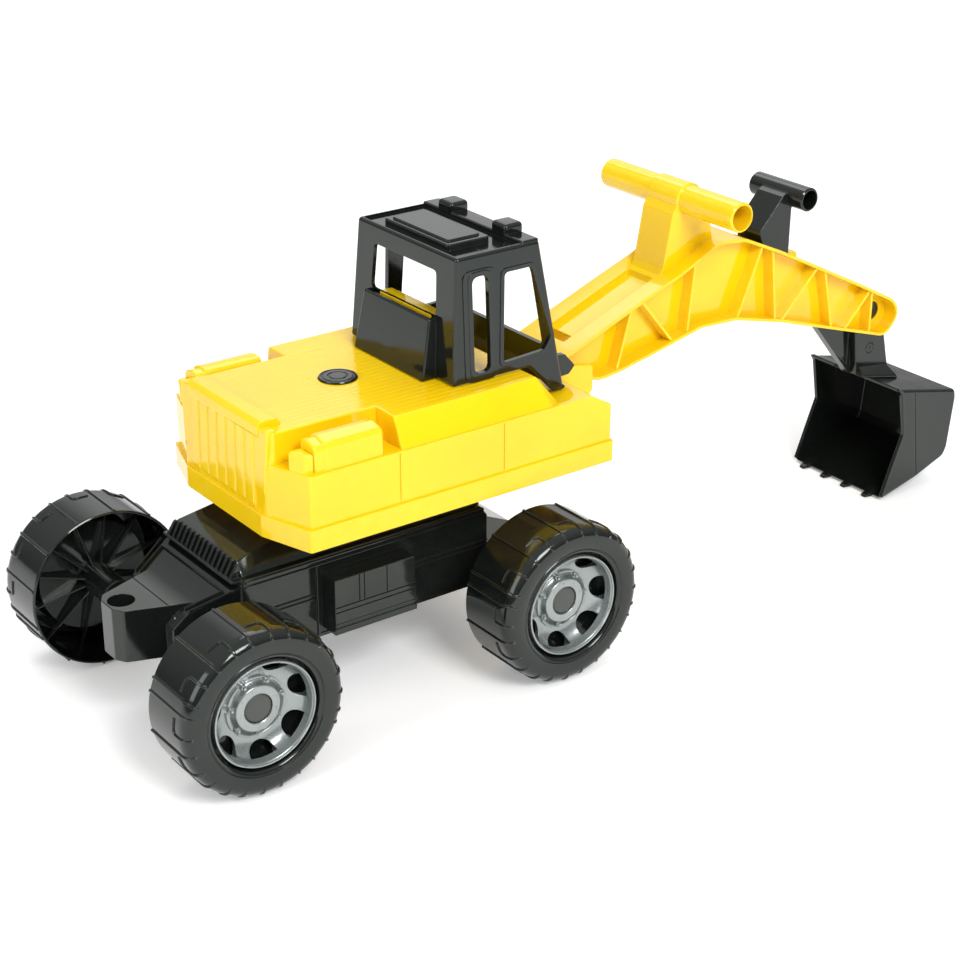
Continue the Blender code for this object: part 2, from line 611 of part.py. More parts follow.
def bucket_lever():
    arm = [(337.0, 221.0), (343.5, 202.0), (352.0, 190.0), (398.0, 162.0), (412.0, 146.0), (440.0, 130.0)]
    arm += [(462.0, 128.0), (468.0, 134.0), (462.0, 150.0), (446.0, 156.5), (372.0, 192.5), (366.0, 200.0)]
    arm += [(366.3, 233.0), (369.5, 242.0), (364.0, 247.0), (357.0, 243.0)]
    lever = prism(arm, "Y", -LEVER_HALF, LEVER_HALF)
    web = [(402.0, 150.0), (402.0, 139.0), (439.5, 90.0), (450.0, 88.0), (450.0, 150.0)]
    add(lever, prism(web, "Y", -2.7, 2.7))
    shin = [(443.0, 134.0), (444.0, 121.0), (448.6, 88.0), (486.0, 81.0), (479.6, 97.4), (475.7, 113.9), (467.0, 134.0)]
    add(lever, prism(shin, "Y", -LEVER_SHIN_HALF, LEVER_SHIN_HALF))
    add(lever, hull(both_sides([
        (450.0, LEVER_SHIN_HALF - 0.5, 100.0), (478.0, LEVER_SHIN_HALF - 0.5, 100.0),
        (448.0, 16.5, 86.0), (490.0, 16.5, 76.0), (448.0, 16.5, 90.6), (490.0, 16.5, 82.0),
    ])))
    grip_centre = (LEVER_GRIP[0], 0, LEVER_GRIP[1])
    add(lever, rod(grip_centre, LEVER_GRIP_RADIUS, "Y", -LEVER_GRIP_HALF, LEVER_GRIP_HALF, 20))
    for side in (-1, 1):
        low, high = sorted((side * 3.0, side * (LEVER_GRIP_HALF + OVERSHOOT)))
        cut(lever, rod(grip_centre, LEVER_GRIP_RADIUS - GRIP_WALL, "Y", low, high, 20))
    cut(lever, rod((TIP[0], 0, TIP[1]), TIP_PIN_RADIUS + GAP, "Y", -40.0, 40.0, 20))
    seat = [(425.0, 94.1 + GAP), (495.0, 78.2 + GAP), (495.0, 60.0), (425.0, 60.0)]
    cut(lever, prism(seat, "Y", -30.0, 30.0))
    return finish(lever, "bucket_lever", BLACK, (TIP[0], 0, TIP[1]))


def bucket():
    """Scoop with a flat foot on its top for the lever; its mouth faces the wheels."""
    shell_outline = [
        (455.3, 87.2), (513.5, 74.0), (518.6, 71.0), (520.2, 66.0), (515.8, 26.0), (513.6, 21.4), (508.5, 17.5),
        (482.2, 8.6), (450.8, 1.0), (445.0, 1.6), (464.0, 49.5), (458.7, 82.0),
    ]
    scoop = prism(shell_outline, "Y", -BUCKET_HALF, BUCKET_HALF)
    wall = BUCKET_WALL
    hollow = [
        (430.0, 90.7), (512.6, 74.0 - wall), (516.6, 69.8), (517.8, 65.6), (513.6, 27.0), (511.8, 23.2),
        (507.4, 19.6), (481.4, 10.9), (449.0, 3.2), (436.0, 1.5), (430.0, 10.0),
    ]
    cut(scoop, prism(hollow, "Y", -BUCKET_HALF + wall, BUCKET_HALF - wall))
    for tooth_y in TOOTH_Y:
        ys = (tooth_y - TOOTH_WIDTH / 2, tooth_y + TOOTH_WIDTH / 2)
        add(scoop, hull([(x, y, z) for y in ys for x, z in (
            (440.5, 0.0), (441.5, 2.2), (452.0, 4.6), (453.0, 1.4), (446.0, 0.0))]))
    return finish(scoop, "bucket", BLACK, (TIP[0], 0, TIP[1]))


def main():
    clear_scene()
    chassis_frame()
    running_gear()
    slew_pin()
    slew_retainer()
    superstructure_body()
    boom_hinge_pin()
    cab()
    boom()
    lever_pivot_pin()
    bucket_lever()
    bucket()


main()
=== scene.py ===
"""Looks of the toy wheeled excavator: moulded plastic shells, treaded wheels, camera and studio light.

Shapes are built in millimetres from the slew axis, as in the CAD: +X to the bucket, +Y left, +Z up.
present() joins finished shapes, turns them into metres in the row frame and hands them to their CAD body.
"""

import math

import bmesh
import bpy
from mathutils import Matrix, Vector


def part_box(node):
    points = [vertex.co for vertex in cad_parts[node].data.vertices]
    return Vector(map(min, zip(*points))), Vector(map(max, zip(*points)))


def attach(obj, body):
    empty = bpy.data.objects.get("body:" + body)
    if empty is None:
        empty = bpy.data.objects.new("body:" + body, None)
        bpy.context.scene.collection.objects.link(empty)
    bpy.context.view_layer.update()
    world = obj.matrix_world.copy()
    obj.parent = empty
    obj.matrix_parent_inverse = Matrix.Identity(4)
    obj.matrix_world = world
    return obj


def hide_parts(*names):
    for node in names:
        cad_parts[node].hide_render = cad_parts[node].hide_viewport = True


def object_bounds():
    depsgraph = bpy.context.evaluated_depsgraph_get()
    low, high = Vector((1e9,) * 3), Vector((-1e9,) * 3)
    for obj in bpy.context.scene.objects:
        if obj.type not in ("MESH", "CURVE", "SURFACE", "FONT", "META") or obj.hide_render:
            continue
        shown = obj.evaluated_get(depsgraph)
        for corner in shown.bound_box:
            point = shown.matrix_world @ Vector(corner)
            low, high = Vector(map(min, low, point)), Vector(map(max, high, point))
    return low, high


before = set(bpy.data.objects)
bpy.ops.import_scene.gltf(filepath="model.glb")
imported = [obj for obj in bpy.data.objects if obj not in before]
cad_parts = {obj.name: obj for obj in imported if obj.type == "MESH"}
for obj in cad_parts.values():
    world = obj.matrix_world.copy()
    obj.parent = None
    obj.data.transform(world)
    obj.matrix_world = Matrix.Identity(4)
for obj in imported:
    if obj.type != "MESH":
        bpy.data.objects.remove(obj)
CAD_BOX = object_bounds()
MM = 0.001
CREASE = 32.0
SLEW_X = sum(corner.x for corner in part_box("slew_pin")) / 2 / MM


def node_box(node):
    """Lowest and highest corner of a CAD node in millimetres from the slew axis."""
    shift = Vector((SLEW_X, 0.0, 0.0))
    return [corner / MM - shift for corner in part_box(node)]


def node_centre(node):
    """Centre of a CAD node, moved on to the toy's centre plane."""
    low, high = node_box(node)
    return Vector(((low.x + high.x) / 2, 0.0, (low.z + high.z) / 2))


# Wheels and axles. Depths in a wheel count inwards from its outer face.
WHEEL_LOW, WHEEL_HIGH = node_box("wheel_rear_right")
WHEEL_RADIUS = (WHEEL_HIGH.z - WHEEL_LOW.z) / 2
WHEEL_FACE = -WHEEL_LOW.y
WHEEL_WIDTH = 44.3
REAR_AXLE_X = node_centre("wheel_rear_right").x
FRONT_AXLE_X = node_centre("wheel_front_right").x
AXLE_END = node_box("rear_axle")[1].y
TREAD_RADIUS = WHEEL_RADIUS - 0.9
TREAD_PITCH = 28.5
MOULD_PLANE = 160.0
BARS_PER_HALF = 7
HOOKS_PER_HALF = 6
INNER_RIBS = 12
WEB_DEPTH = 20.8
WINDOWS = 7
WINDOW_PHASE = {"rear": 14.0, "front": 2.5}
BOLT_CIRCLE = 16.9
DOTS = 9
DOT_CIRCLE = 11.9

# Pins: centres, and radii of the holes they sit in.
HINGE = node_centre("boom_hinge_pin")
TIP = node_centre("lever_pivot_pin")
AXLE_BORE = 2.9
SLEW_BORE = 8.8
HINGE_BORE = 4.1
TIP_BORE = 7.2

# Chassis.
FRAME_HALF = 45.5
FRAME_BOTTOM = 45.5
FRAME_TOP = 99.0
FRAME_WALL = 2.5
TURRET_TOP = 124.9
TOW_HOLE = (-155.2, 0.0, 0.0)
TOW_HOLE_RADIUS = 7.8
SLATS = 15
SLAT_PITCH = 5.35

# Slewing body.
FLANGE_Z = (122.9, 136.9)
BODY_HALF = 78.7
BODY_FRONT = 152.5
LEDGE_Z = 170.0
DECK_Z = 189.5
FLOOR_Z = 167.7
SPINE_HALF = 52.0
DECK_HALF = 71.0
BODY_WALL = 2.8
CHEEK_Y = (27.5, 31.6)
GROOVE_PITCH = 4.9
REAR_RIBS = 7
REAR_RIB_PITCH = 10.7

# Cab.
CAB_HALF_LOW = 56.9
CAB_HALF_TOP = 53.0
CAB_WALL = 2.4
ROOF_Z = 269.0

# Boom, lever and bucket.
BOOM_HALF = 26.5
WEB_HALF = 15.5
LEVER_SLOT_HALF = 13.3
GRIP = (268.5, 0.0, 257.5)
GRIP_RADIUS = 9.9
GRIP_HALF = 65.9
GRIP_WALL = 1.6
LEVER_HALF = 12.4
LEVER_GRIP = (369.3, 0.0, 242.1)
LEVER_GRIP_RADIUS = 8.3
LEVER_GRIP_HALF = 26.3
BUCKET_HALF = 45.8
BUCKET_WALL = 2.2

# Studio, in metres in the row frame.
CAMERA_PLACE = (SLEW_X * MM - 0.6169, -0.9862, 0.6495)
CAMERA_TURN = (65.5, 0.0, -36.3)
CAMERA_LENS = 76.69
LIGHT_TARGET = Vector((0.0, 0.0, 0.12))
LIGHTS = (
    # name, place, size, watts
    ("key", (-0.3, -1.7, 1.5), 0.8, 34.0),
    ("rear_fill", (-1.8, -0.1, 0.9), 1.0, 11.5),
    ("top", (0.5, 0.9, 1.7), 1.0, 7.0),
)
SOFTBOX_WAY = Vector((0.54, 0.73, 0.43)).normalized()
FLOOR_REACH = 30.0
FLOOR_GAP = 0.0002
WHITE = (1.0, 1.0, 1.0, 1.0)


# ---------- shape helpers

def new_object(name, data):
    made = bpy.data.objects.new(name, data)
    bpy.context.collection.objects.link(made)
    return made


def soften(bm, width, steps=2, angle=25.0):
    """Round every edge that folds by more than angle degrees."""
    bmesh.ops.recalc_face_normals(bm, faces=bm.faces)
    if width > 0:
        limit = math.radians(angle)
        edges = [edge for edge in bm.edges if edge.is_manifold and edge.calc_face_angle() > limit]
        bmesh.ops.bevel(bm, geom=edges, offset=width, offset_type="OFFSET", segments=steps,
                        profile=0.5, affect="EDGES", clamp_overlap=True)


def shape(bm, edge=0.0, steps=2):
    """Link a bmesh as a working object, with its edges rounded by edge millimetres."""
    soften(bm, edge, steps)
    mesh = bpy.data.meshes.new("shape")
    bm.to_mesh(mesh)
    bm.free()
    return new_object("shape", mesh)


def refine(thing, edge, steps=2, angle=25.0):
    """Round the edges of a shape that booleans have already worked on."""
    bm = bmesh.new()
    bm.from_mesh(thing.data)
    bmesh.ops.remove_doubles(bm, verts=bm.verts, dist=0.01)
    bmesh.ops.dissolve_limit(bm, angle_limit=math.radians(0.5), verts=bm.verts, edges=bm.edges)
    soften(bm, edge, steps, angle)
    bm.to_mesh(thing.data)
    bm.free()
    return thing


def hull(points, edge=0.0, steps=2):
    bm = bmesh.new()
    for point in points:
        bm.verts.new(point)
    result = bmesh.ops.convex_hull(bm, input=bm.verts)
    loose = [item for item in result["geom_interior"] if isinstance(item, bmesh.types.BMVert)]
    bmesh.ops.delete(bm, geom=loose, context="VERTS")
    bmesh.ops.dissolve_limit(bm, angle_limit=math.radians(0.5), verts=bm.verts, edges=bm.edges)
    return shape(bm, edge, steps)


def box(xs, ys, zs, edge=0.0, steps=2):
    return hull([(x, y, z) for x in xs for y in ys for z in zs], edge, steps)


def both_sides(points, middle=0.0):
    """Each point (x, y, z) at y on either side of the plane y = middle."""
    return [(x, middle + side * y, z) for x, y, z in points for side in (-1, 1)]


def outward(side, near, far):
    """Two distances from the centre plane on one side of the toy, the lower y first."""
    return sorted((side * near, side * far))


def rectangle(first, second):
    """Flat outline over two (low, high) ranges."""
    (a, b), (c, d) = first, second
    return [(a, c), (b, c), (b, d), (a, d)]


def band(start, end, half):
    """Flat outline of a straight band of this half width between two points."""
    start = Vector(start)
    end = Vector(end)
    along = (end - start).normalized()
    across = Vector((-along.y, along.x)) * half
    return [tuple(corner) for corner in (start - across, start + across, end + across, end - across)]


def rounded(outline, radius, steps=4):
    """The outline with a curve of about this radius in place of each corner."""
    made = []
    count = len(outline)
    for i in range(count):
        corner = Vector(outline[i])
        back = Vector(outline[i - 1]) - corner
        ahead = Vector(outline[(i + 1) % count]) - corner
        half = back.angle(ahead) / 2
        if half > math.radians(88.5):
            made.append(tuple(corner))
            continue
        reach = min(radius / math.tan(half), 0.48 * back.length, 0.48 * ahead.length)
        start = corner + back.normalized() * reach
        end = corner + ahead.normalized() * reach
        for step in range(steps + 1):
            share = step / steps
            point = start * (1 - share) ** 2 + corner * 2 * share * (1 - share) + end * share ** 2
            made.append(tuple(point))
    return made


def inset(outline, distance):
    """Move each side of a closed outline inwards by distance and meet them again."""
    count = len(outline)
    area = 0.0
    for i in range(count):
        (ax, ay), (bx, by) = outline[i], outline[(i + 1) % count]
        area += ax * by - bx * ay
    turn = 1.0 if area > 0 else -1.0
    moved = []
    for i in range(count):
        a, b, c = Vector(outline[i - 1]), Vector(outline[i]), Vector(outline[(i + 1) % count])
        first = (b - a).normalized()
        second = (c - b).normalized()
        normal = Vector((-first.y, first.x)) * turn
        middle = (normal + Vector((-second.y, second.x)) * turn).normalized()
        moved.append(tuple(b + middle * (distance / max(0.3, middle.dot(normal)))))
    return moved


def prism(outline, along, low, high, edge=0.0, steps=2):
    """Extrude a flat outline. Along Y the outline is (x, z), along Z (x, y), along X (y, z)."""
    place = {
        "X": lambda a, b, depth: (depth, a, b),
        "Y": lambda a, b, depth: (a, depth, b),
        "Z": lambda a, b, depth: (a, b, depth),
    }[along]
    return loft([[place(a, b, depth) for a, b in outline] for depth in (low, high)], edge, steps)


def slab(outline, half, edge=0.0, steps=2):
    """Extrude an (x, z) outline by half on both sides of the centre plane."""
    return prism(outline, "Y", -half, half, edge, steps)


def loft(rings, edge=0.0, steps=2):
    """Skin rings of equal count into a closed solid with flat ends."""
    bm = bmesh.new()
    made = [[bm.verts.new(point) for point in ring] for ring in rings]
    bm.faces.new(made[0])
    bm.faces.new(list(reversed(made[-1])))
    for first, second in zip(made, made[1:]):
        count = len(first)
        for i in range(count):
            j = (i + 1) % count
            bm.faces.new((first[i], first[j], second[j], second[i]))
    return shape(bm, edge, steps)


def lathe(profile, centre=(0.0, 0.0, 0.0), along="Y", segments=64):
    """Turn a profile of (radius, offset) about a line along Y or Z through centre.

    A profile that ends away from the line is closed back to its start.
    """
    bm = bmesh.new()
    rings = []
    for radius, offset in profile:
        ring = []
        for i in range(segments if radius > 0 else 1):
            angle = 2 * math.pi * i / segments
            u, v = radius * math.cos(angle), radius * math.sin(angle)
            place = (u, offset, v) if along == "Y" else (u, v, offset)
            ring.append(bm.verts.new(Vector(centre) + Vector(place)))
        rings.append(ring)
    pairs = list(zip(rings, rings[1:]))
    if profile[-1][0] > 0:
        pairs.append((rings[-1], rings[0]))
    for first, second in pairs:
        for i in range(segments):
            j = (i + 1) % segments
            corners = [first[i % len(first)], first[j % len(first)]]
            corners += [second[j % len(second)], second[i % len(second)]]
            bm.faces.new(list(dict.fromkeys(corners)))
    return shape(bm)


def rod(centre, radius, along, low, high, edge=0.4, segments=40):
    profile = [(0, low), (radius - edge, low), (radius, low + edge)]
    profile += [(radius, high - edge), (radius - edge, high), (0, high)]
    return lathe(profile, centre, along, segments)


def combine(base, tools, operation):
    for tool in tools:
        modifier = base.modifiers.new("combine", "BOOLEAN")
        modifier.operation = operation
        modifier.solver = "EXACT"
        modifier.object = tool
        bpy.context.view_layer.update()
        result = base.evaluated_get(bpy.context.evaluated_depsgraph_get())
        mesh = bpy.data.meshes.new_from_object(result)
        base.modifiers.clear()
        base.data = mesh
        bpy.data.objects.remove(tool, do_unlink=True)
    return base


def add(base, *tools):
    return combine(base, tools, "UNION")


def cut(base, *tools):
    return combine(base, tools, "DIFFERENCE")


def gather(things):
    """Put several shapes in one object without working out where they meet."""
    bm = bmesh.new()
    for thing in things:
        bm.from_mesh(thing.data)
        bpy.data.objects.remove(thing, do_unlink=True)
    return shape(bm)


def moved_copy(thing, matrix):
    copy = new_object("shape", thing.data.copy())
    copy.data.transform(matrix)
    return copy


def present(things, name, body, slot, node):
    """Join finished shapes into one piece of the row frame, with its body, slot and CAD node."""
    thing = gather(things)
    to_metres = Matrix.Diagonal((MM, MM, MM, 1.0))
    thing.data.transform(to_metres @ Matrix.Translation((SLEW_X, 0.0, 0.0)))
    thing.name = name
    thing.data.name = name
    thing.data.materials.clear()
    thing.data.materials.append(MATERIALS[slot])
    thing.data.shade_smooth()
    thing.data.set_sharp_from_angle(angle=math.radians(CREASE))
    weighted = thing.modifiers.new("even_normals", "WEIGHTED_NORMAL")
    weighted.keep_sharp = True
    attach(thing, body)
    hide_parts(node)


# ---------- materials

class Graph:
    """A short way to write the nodes of a material or of the world."""

    def __init__(self, owner, output):
        owner.use_nodes = True
        self.owner = owner
        self.tree = owner.node_tree
        self.output = self.tree.nodes[output]

    def plug(self, socket, value):
        if isinstance(value, bpy.types.NodeSocket):
            self.tree.links.new(value, socket)
        else:
            socket.default_value = value

    def node(self, kind, inputs=None, **settings):
        made = self.tree.nodes.new("ShaderNode" + kind)
        for key, value in settings.items():
            setattr(made, key, value)
        for key, value in (inputs or {}).items():
            self.plug(made.inputs[key], value)
        return made

    def noise(self, scale, detail=3.0, stretch=(1.0, 1.0, 1.0)):
        """Noise in the object's own metres; scale is in lumps per metre."""
        place = self.node("TexCoord").outputs["Object"]
        if stretch != (1.0, 1.0, 1.0):
            place = self.node("Mapping", {"Vector": place, "Scale": stretch}).outputs["Vector"]
        inputs = {"Vector": place, "Scale": scale, "Detail": detail}
        return self.node("TexNoise", inputs).outputs["Fac"]

    def remap(self, value, low, high, new_low=0.0, new_high=1.0):
        inputs = {"Value": value, "From Min": low, "From Max": high, "To Min": new_low, "To Max": new_high}
        return self.node("MapRange", inputs).outputs["Result"]

    def mix(self, share, first, second):
        return self.node("Mix", {0: share, 6: first, 7: second}, data_type="RGBA").outputs[2]

    def sum(self, first, second):
        return self.node("Math", {0: first, 1: second}, operation="ADD").outputs[0]

    def product(self, first, second):
        return self.node("Math", {0: first, 1: second}, operation="MULTIPLY").outputs[0]

    def set(self, key, value):
        self.plug(self.output.inputs[key], value)


def material_graph(name):
    return Graph(bpy.data.materials.new(name), "Principled BSDF")


def moulded(name, colour, deeper, edge_highlight_colour, roughness, edge_highlight_share=0.35, metallic=0.0, grain=0.03,
            round_edge=0.45):
    """Injection-moulded plastic: flow marks, a painted highlight in patches on convex edges, fine scuffs and
    an orange-peel skin.
    """
    graph = material_graph(name)
    flow = graph.remap(graph.noise(16.0, 4.0), 0.35, 0.65)
    base = graph.mix(flow, colour, deeper)
    # Painted highlight: convex edges are made lighter in patches, in place of light catching the rounded
    # edges.
    pointiness = graph.node("NewGeometry").outputs["Pointiness"]
    painted_edge_highlight = graph.remap(pointiness, 0.52, 0.60, 0.0, edge_highlight_share)
    highlight_patches = graph.remap(graph.noise(120.0, 3.0), 0.35, 0.6, 0.45, 1.0)
    graph.set("Base Color", graph.mix(graph.product(painted_edge_highlight, highlight_patches), base, edge_highlight_colour))
    scuffs = graph.remap(graph.noise(260.0, 2.0, (1.0, 0.06, 0.35)), 0.64, 0.74, 0.0, 0.12)
    haze = graph.remap(graph.noise(42.0, 5.0), 0.3, 0.7, roughness * 0.8, roughness * 1.25)
    graph.set("Roughness", graph.sum(haze, scuffs))
    graph.set("Metallic", metallic)
    graph.set("IOR", 1.5)
    skin = graph.noise(1500.0, 2.0)
    rounding = graph.node("Bevel", {"Radius": round_edge * MM}, samples=4).outputs["Normal"]
    inputs = {"Height": skin, "Strength": grain, "Distance": 0.0004, "Normal": rounding}
    graph.set("Normal", graph.node("Bump", inputs).outputs["Normal"])
    return graph


def steel(name):
    graph = material_graph(name)
    brushed = graph.noise(900.0, 2.0, (1.0, 0.03, 1.0))
    tone = graph.remap(brushed, 0.3, 0.7)
    graph.set("Base Color", graph.mix(tone, (0.46, 0.46, 0.45, 1.0), (0.66, 0.65, 0.63, 1.0)))
    graph.set("Metallic", 1.0)
    graph.set("Roughness", graph.remap(brushed, 0.3, 0.7, 0.22, 0.4))
    bump = graph.node("Bump", {"Height": brushed, "Strength": 0.08, "Distance": 0.0003})
    graph.set("Normal", bump.outputs["Normal"])
    return graph


def make_materials():
    yellow = moulded("moulded_yellow", (0.92, 0.61, 0.0045, 1), (0.89, 0.565, 0.0035, 1),
                     (0.97, 0.72, 0.03, 1), 0.075, edge_highlight_share=0.5)
    yellow.set("Subsurface Weight", 0.08)
    yellow.set("Subsurface Radius", (1.0, 0.55, 0.08))
    yellow.set("Subsurface Scale", 0.002)
    black = moulded("moulded_black", (0.0048, 0.0064, 0.0056, 1), (0.0068, 0.0085, 0.0074, 1),
                    (0.026, 0.029, 0.026, 1), 0.085)
    black.set("Specular Tint", (0.93, 1.0, 0.95, 1))
    silver = moulded("moulded_silver", (0.34, 0.37, 0.365, 1), (0.29, 0.32, 0.315, 1),
                     (0.58, 0.61, 0.60, 1), 0.28, metallic=0.75, grain=0.05, round_edge=0.3)
    flakes = silver.remap(silver.noise(4200.0, 0.0), 0.4, 0.62, 0.20, 0.36)
    silver.set("Roughness", flakes)
    grey = moulded("moulded_grey", (0.042, 0.046, 0.041, 1), (0.055, 0.059, 0.053, 1),
                   (0.16, 0.16, 0.15, 1), 0.42, grain=0.1)
    graphs = {"yellow_plastic": yellow, "black_plastic": black, "silver_plastic": silver,
              "grey_plastic": grey, "steel": steel("brushed_steel")}
    return {slot: graph.owner for slot, graph in graphs.items()}


MATERIALS = make_materials()


# ---------- wheels

def tread_bar(angle, path, width=1.5, height=0.9):
    """A raised bar on the tyre; path holds (radius, depth, turn in degrees, rise) along its middle."""
    rings = []
    count = len(path)
    for i, (radius, depth, turn, rise) in enumerate(path):
        ahead = path[min(i + 1, count - 1)]
        behind = path[max(i - 1, 0)]
        swing = math.radians(ahead[2] - behind[2]) * radius
        along = Vector((ahead[0] - behind[0], ahead[1] - behind[1], swing))
        out = Vector((along.y, -along.x, 0))
        if out.length < 0.01 * along.length:
            out = Vector((1, 0, 0))
        out.normalize()
        if out.x < 0:
            out.negate()
        side = along.cross(out).normalized()
        ring = []
        for across, lift in ((-1, -0.6), (-0.8, height * rise), (0.8, height * rise), (1, -0.6)):
            local = out * lift + side * across * width / 2
            theta = angle + math.radians(turn) + local.z / radius
            reach = radius + local.x
            ring.append((reach * math.cos(theta), depth + local.y, reach * math.sin(theta)))
        rings.append(ring)
    return loft(rings, 0.25, 1)


def tread():
    """Full-width bars and hooked lugs, mirrored about the plane where the mould halves meet."""
    r = TREAD_RADIUS
    shoulder = [(r, 9.5, 0, 1), (r - 0.1, 7.2, 0, 1), (r - 0.5, 5.3, 0, 1), (50.8, 3.4, 0, 1),
                (49.5, 1.8, 0, 0.9), (47.9, 0.75, 0, 0.6), (46.6, 0.3, 0, 0.1)]
    bar = [(r, WHEEL_WIDTH - 0.5, 0, 1), (r, 30, 0, 1), (r, 18, 0, 1)] + shoulder
    made = []
    for hand in (-1, 1):
        for step in range(BARS_PER_HALF):
            angle = math.radians(MOULD_PLANE + hand * (4.5 + TREAD_PITCH * step))
            made.append(tread_bar(angle, bar, width=1.9))
        hook = [(r, 14.6, -hand * turn, rise) for turn, rise in ((11, 0.7), (10.2, 1), (7, 1), (3.4, 1))]
        hook += [(r, 14.2, -hand * 1.6, 1), (r, 13.1, -hand * 0.4, 1), (r, 11.6, 0, 1)]
        for step in range(HOOKS_PER_HALF):
            angle = math.radians(MOULD_PLANE + hand * (19.6 + TREAD_PITCH * step))
            made.append(tread_bar(angle, hook + shoulder, width=1.7))
    return made


def tyre_form():
    """Tyre with its web and hub tube; the outer face is at y = 0 and the axle along y."""
    r = TREAD_RADIUS
    tyre = lathe([
        (34.2, 18.2), (34.6, 6), (34.9, 3.4), (35.4, 2), (36.3, 1.1), (37.3, 0.75), (37.7, 1.15),
        (38.2, 1.15), (38.6, 0.6), (40, 0.25), (43, 0.05), (46, 0.2), (47.9, 0.75), (49.5, 1.8),
        (50.8, 3.4), (r - 0.5, 5.3), (r - 0.1, 7.2), (r, 9.5), (r, 42.8), (r - 0.3, 43.8),
        (r - 1, WHEEL_WIDTH), (r - 1.7, 43.9),
        (r - 1.9, 43.2), (r - 2.2, 9), (r - 4.4, 5.2), (46, 3.9), (39, 3.8), (38, 4.8),
        (37.2, WEB_DEPTH - 0.6), (36.6, WEB_DEPTH), (11.6, WEB_DEPTH), (10, WEB_DEPTH + 1.6), (9.5, 55.4),
        (8.9, 56), (3.4, 56), (2.9, 55.4), (2.9, 18.2),
    ], segments=112)
    ribs = []
    for i in range(INNER_RIBS):
        angle = 2 * math.pi * (i + 0.5) / INNER_RIBS
        out = Vector((math.cos(angle), 0, math.sin(angle)))
        side = Vector((-out.z, 0, out.x)) * 0.7
        outline = ((9, WEB_DEPTH - 1), (50.3, WEB_DEPTH - 1), (50.3, 22.6), (9, 29))
        rings = [[out * radius + side * hand + Vector((0, depth, 0)) for radius, depth in outline]
                 for hand in (-1, 1)]
        ribs.append(loft(rings, 0.3, 1))
    return gather([tyre] + tread() + ribs)


def rim_form():
    """Deep dish with rounded windows, a raised hub ring and bolts joined by beads on its slope."""
    rim = lathe([
        (33.2, 13.2), (33.2, 2.5), (32.95, 2), (32.5, 1.75), (32.05, 1.85), (31.8, 2.3), (31.6, 2.9),
        (31.2, 3.2), (30.95, 4), (30.4, 6.6), (29.5, 9), (28.1, 10.9), (26.2, 12.4), (24, 13.6),
        (21.8, 14.4), (19.6, 14.8), (17.4, 14.6), (16.2, 13.8), (15.3, 12.2), (14.7, 10.9), (14.3, 10.45),
        (13.7, 10.25), (9.7, 10.25), (9.2, 10.6), (9.2, 17.6), (23, 17), (30.4, 13.8),
    ], segments=112)
    windows = []
    for window in range(WINDOWS):
        middle = 2 * math.pi * window / WINDOWS
        outline = []
        for step in range(13):
            turn = math.pi * step / 12
            across = 16.6 * math.cos(turn)
            radius = 30.6 - 8.4 * math.sin(turn) ** 0.75
            angle = middle + math.radians(across)
            outline.append((radius * math.cos(angle), radius * math.sin(angle)))
        for across in (-13.5, -6.5, 0, 6.5, 13.5):
            angle = middle + math.radians(across)
            outline.append((34 * math.cos(angle), 34 * math.sin(angle)))
        windows.append(prism(rounded(outline, 1.5, 3), "Y", 7.6, 18.5))
    cut(rim, gather(windows))
    extras = []
    bolt_profile = [(0, 10.5), (0.8, 10.6), (1.1, 11), (1.15, 11.9), (1.6, 12), (1.85, 12.4),
                    (2, 15.4), (0, 15.4)]
    for bolt in range(WINDOWS):
        angle = 2 * math.pi * bolt / WINDOWS
        centre = (BOLT_CIRCLE * math.cos(angle), 0, BOLT_CIRCLE * math.sin(angle))
        extras.append(lathe(bolt_profile, centre, "Y", 20))
        extras.append(arc_bead(18.6, angle + math.radians(8), angle + math.radians(43), 13.3, 0.7))
    for dot in range(DOTS):
        angle = 2 * math.pi * (dot + 0.3) / DOTS
        centre = (DOT_CIRCLE * math.cos(angle), 0, DOT_CIRCLE * math.sin(angle))
        extras.append(lathe([(0, 9.85), (0.45, 9.9), (0.7, 10.5), (0, 10.5)], centre, "Y", 10))
    return gather([rim] + extras)


def arc_bead(radius, start, end, depth, half):
    """A small raised bead that follows an arc about the axle."""
    rings = []
    for step in range(9):
        angle = start + (end - start) * step / 8
        ring = []
        for across, down in ((-half, 1.6), (-half * 0.7, 0), (half * 0.7, 0), (half, 1.6)):
            reach = radius + across
            ring.append((reach * math.cos(angle), depth + down, reach * math.sin(angle)))
        rings.append(ring)
    return loft(rings, 0.15, 1)


def hub_cap_form():
    return lathe([
        (0, 10.3), (3, 10.32), (7.2, 10.45), (8.1, 10.75), (8.65, 11.2), (8.85, 12), (8.9, 17.9),
        (2.9, 17.9), (2.9, 12.8), (0, 12.8),
    ])


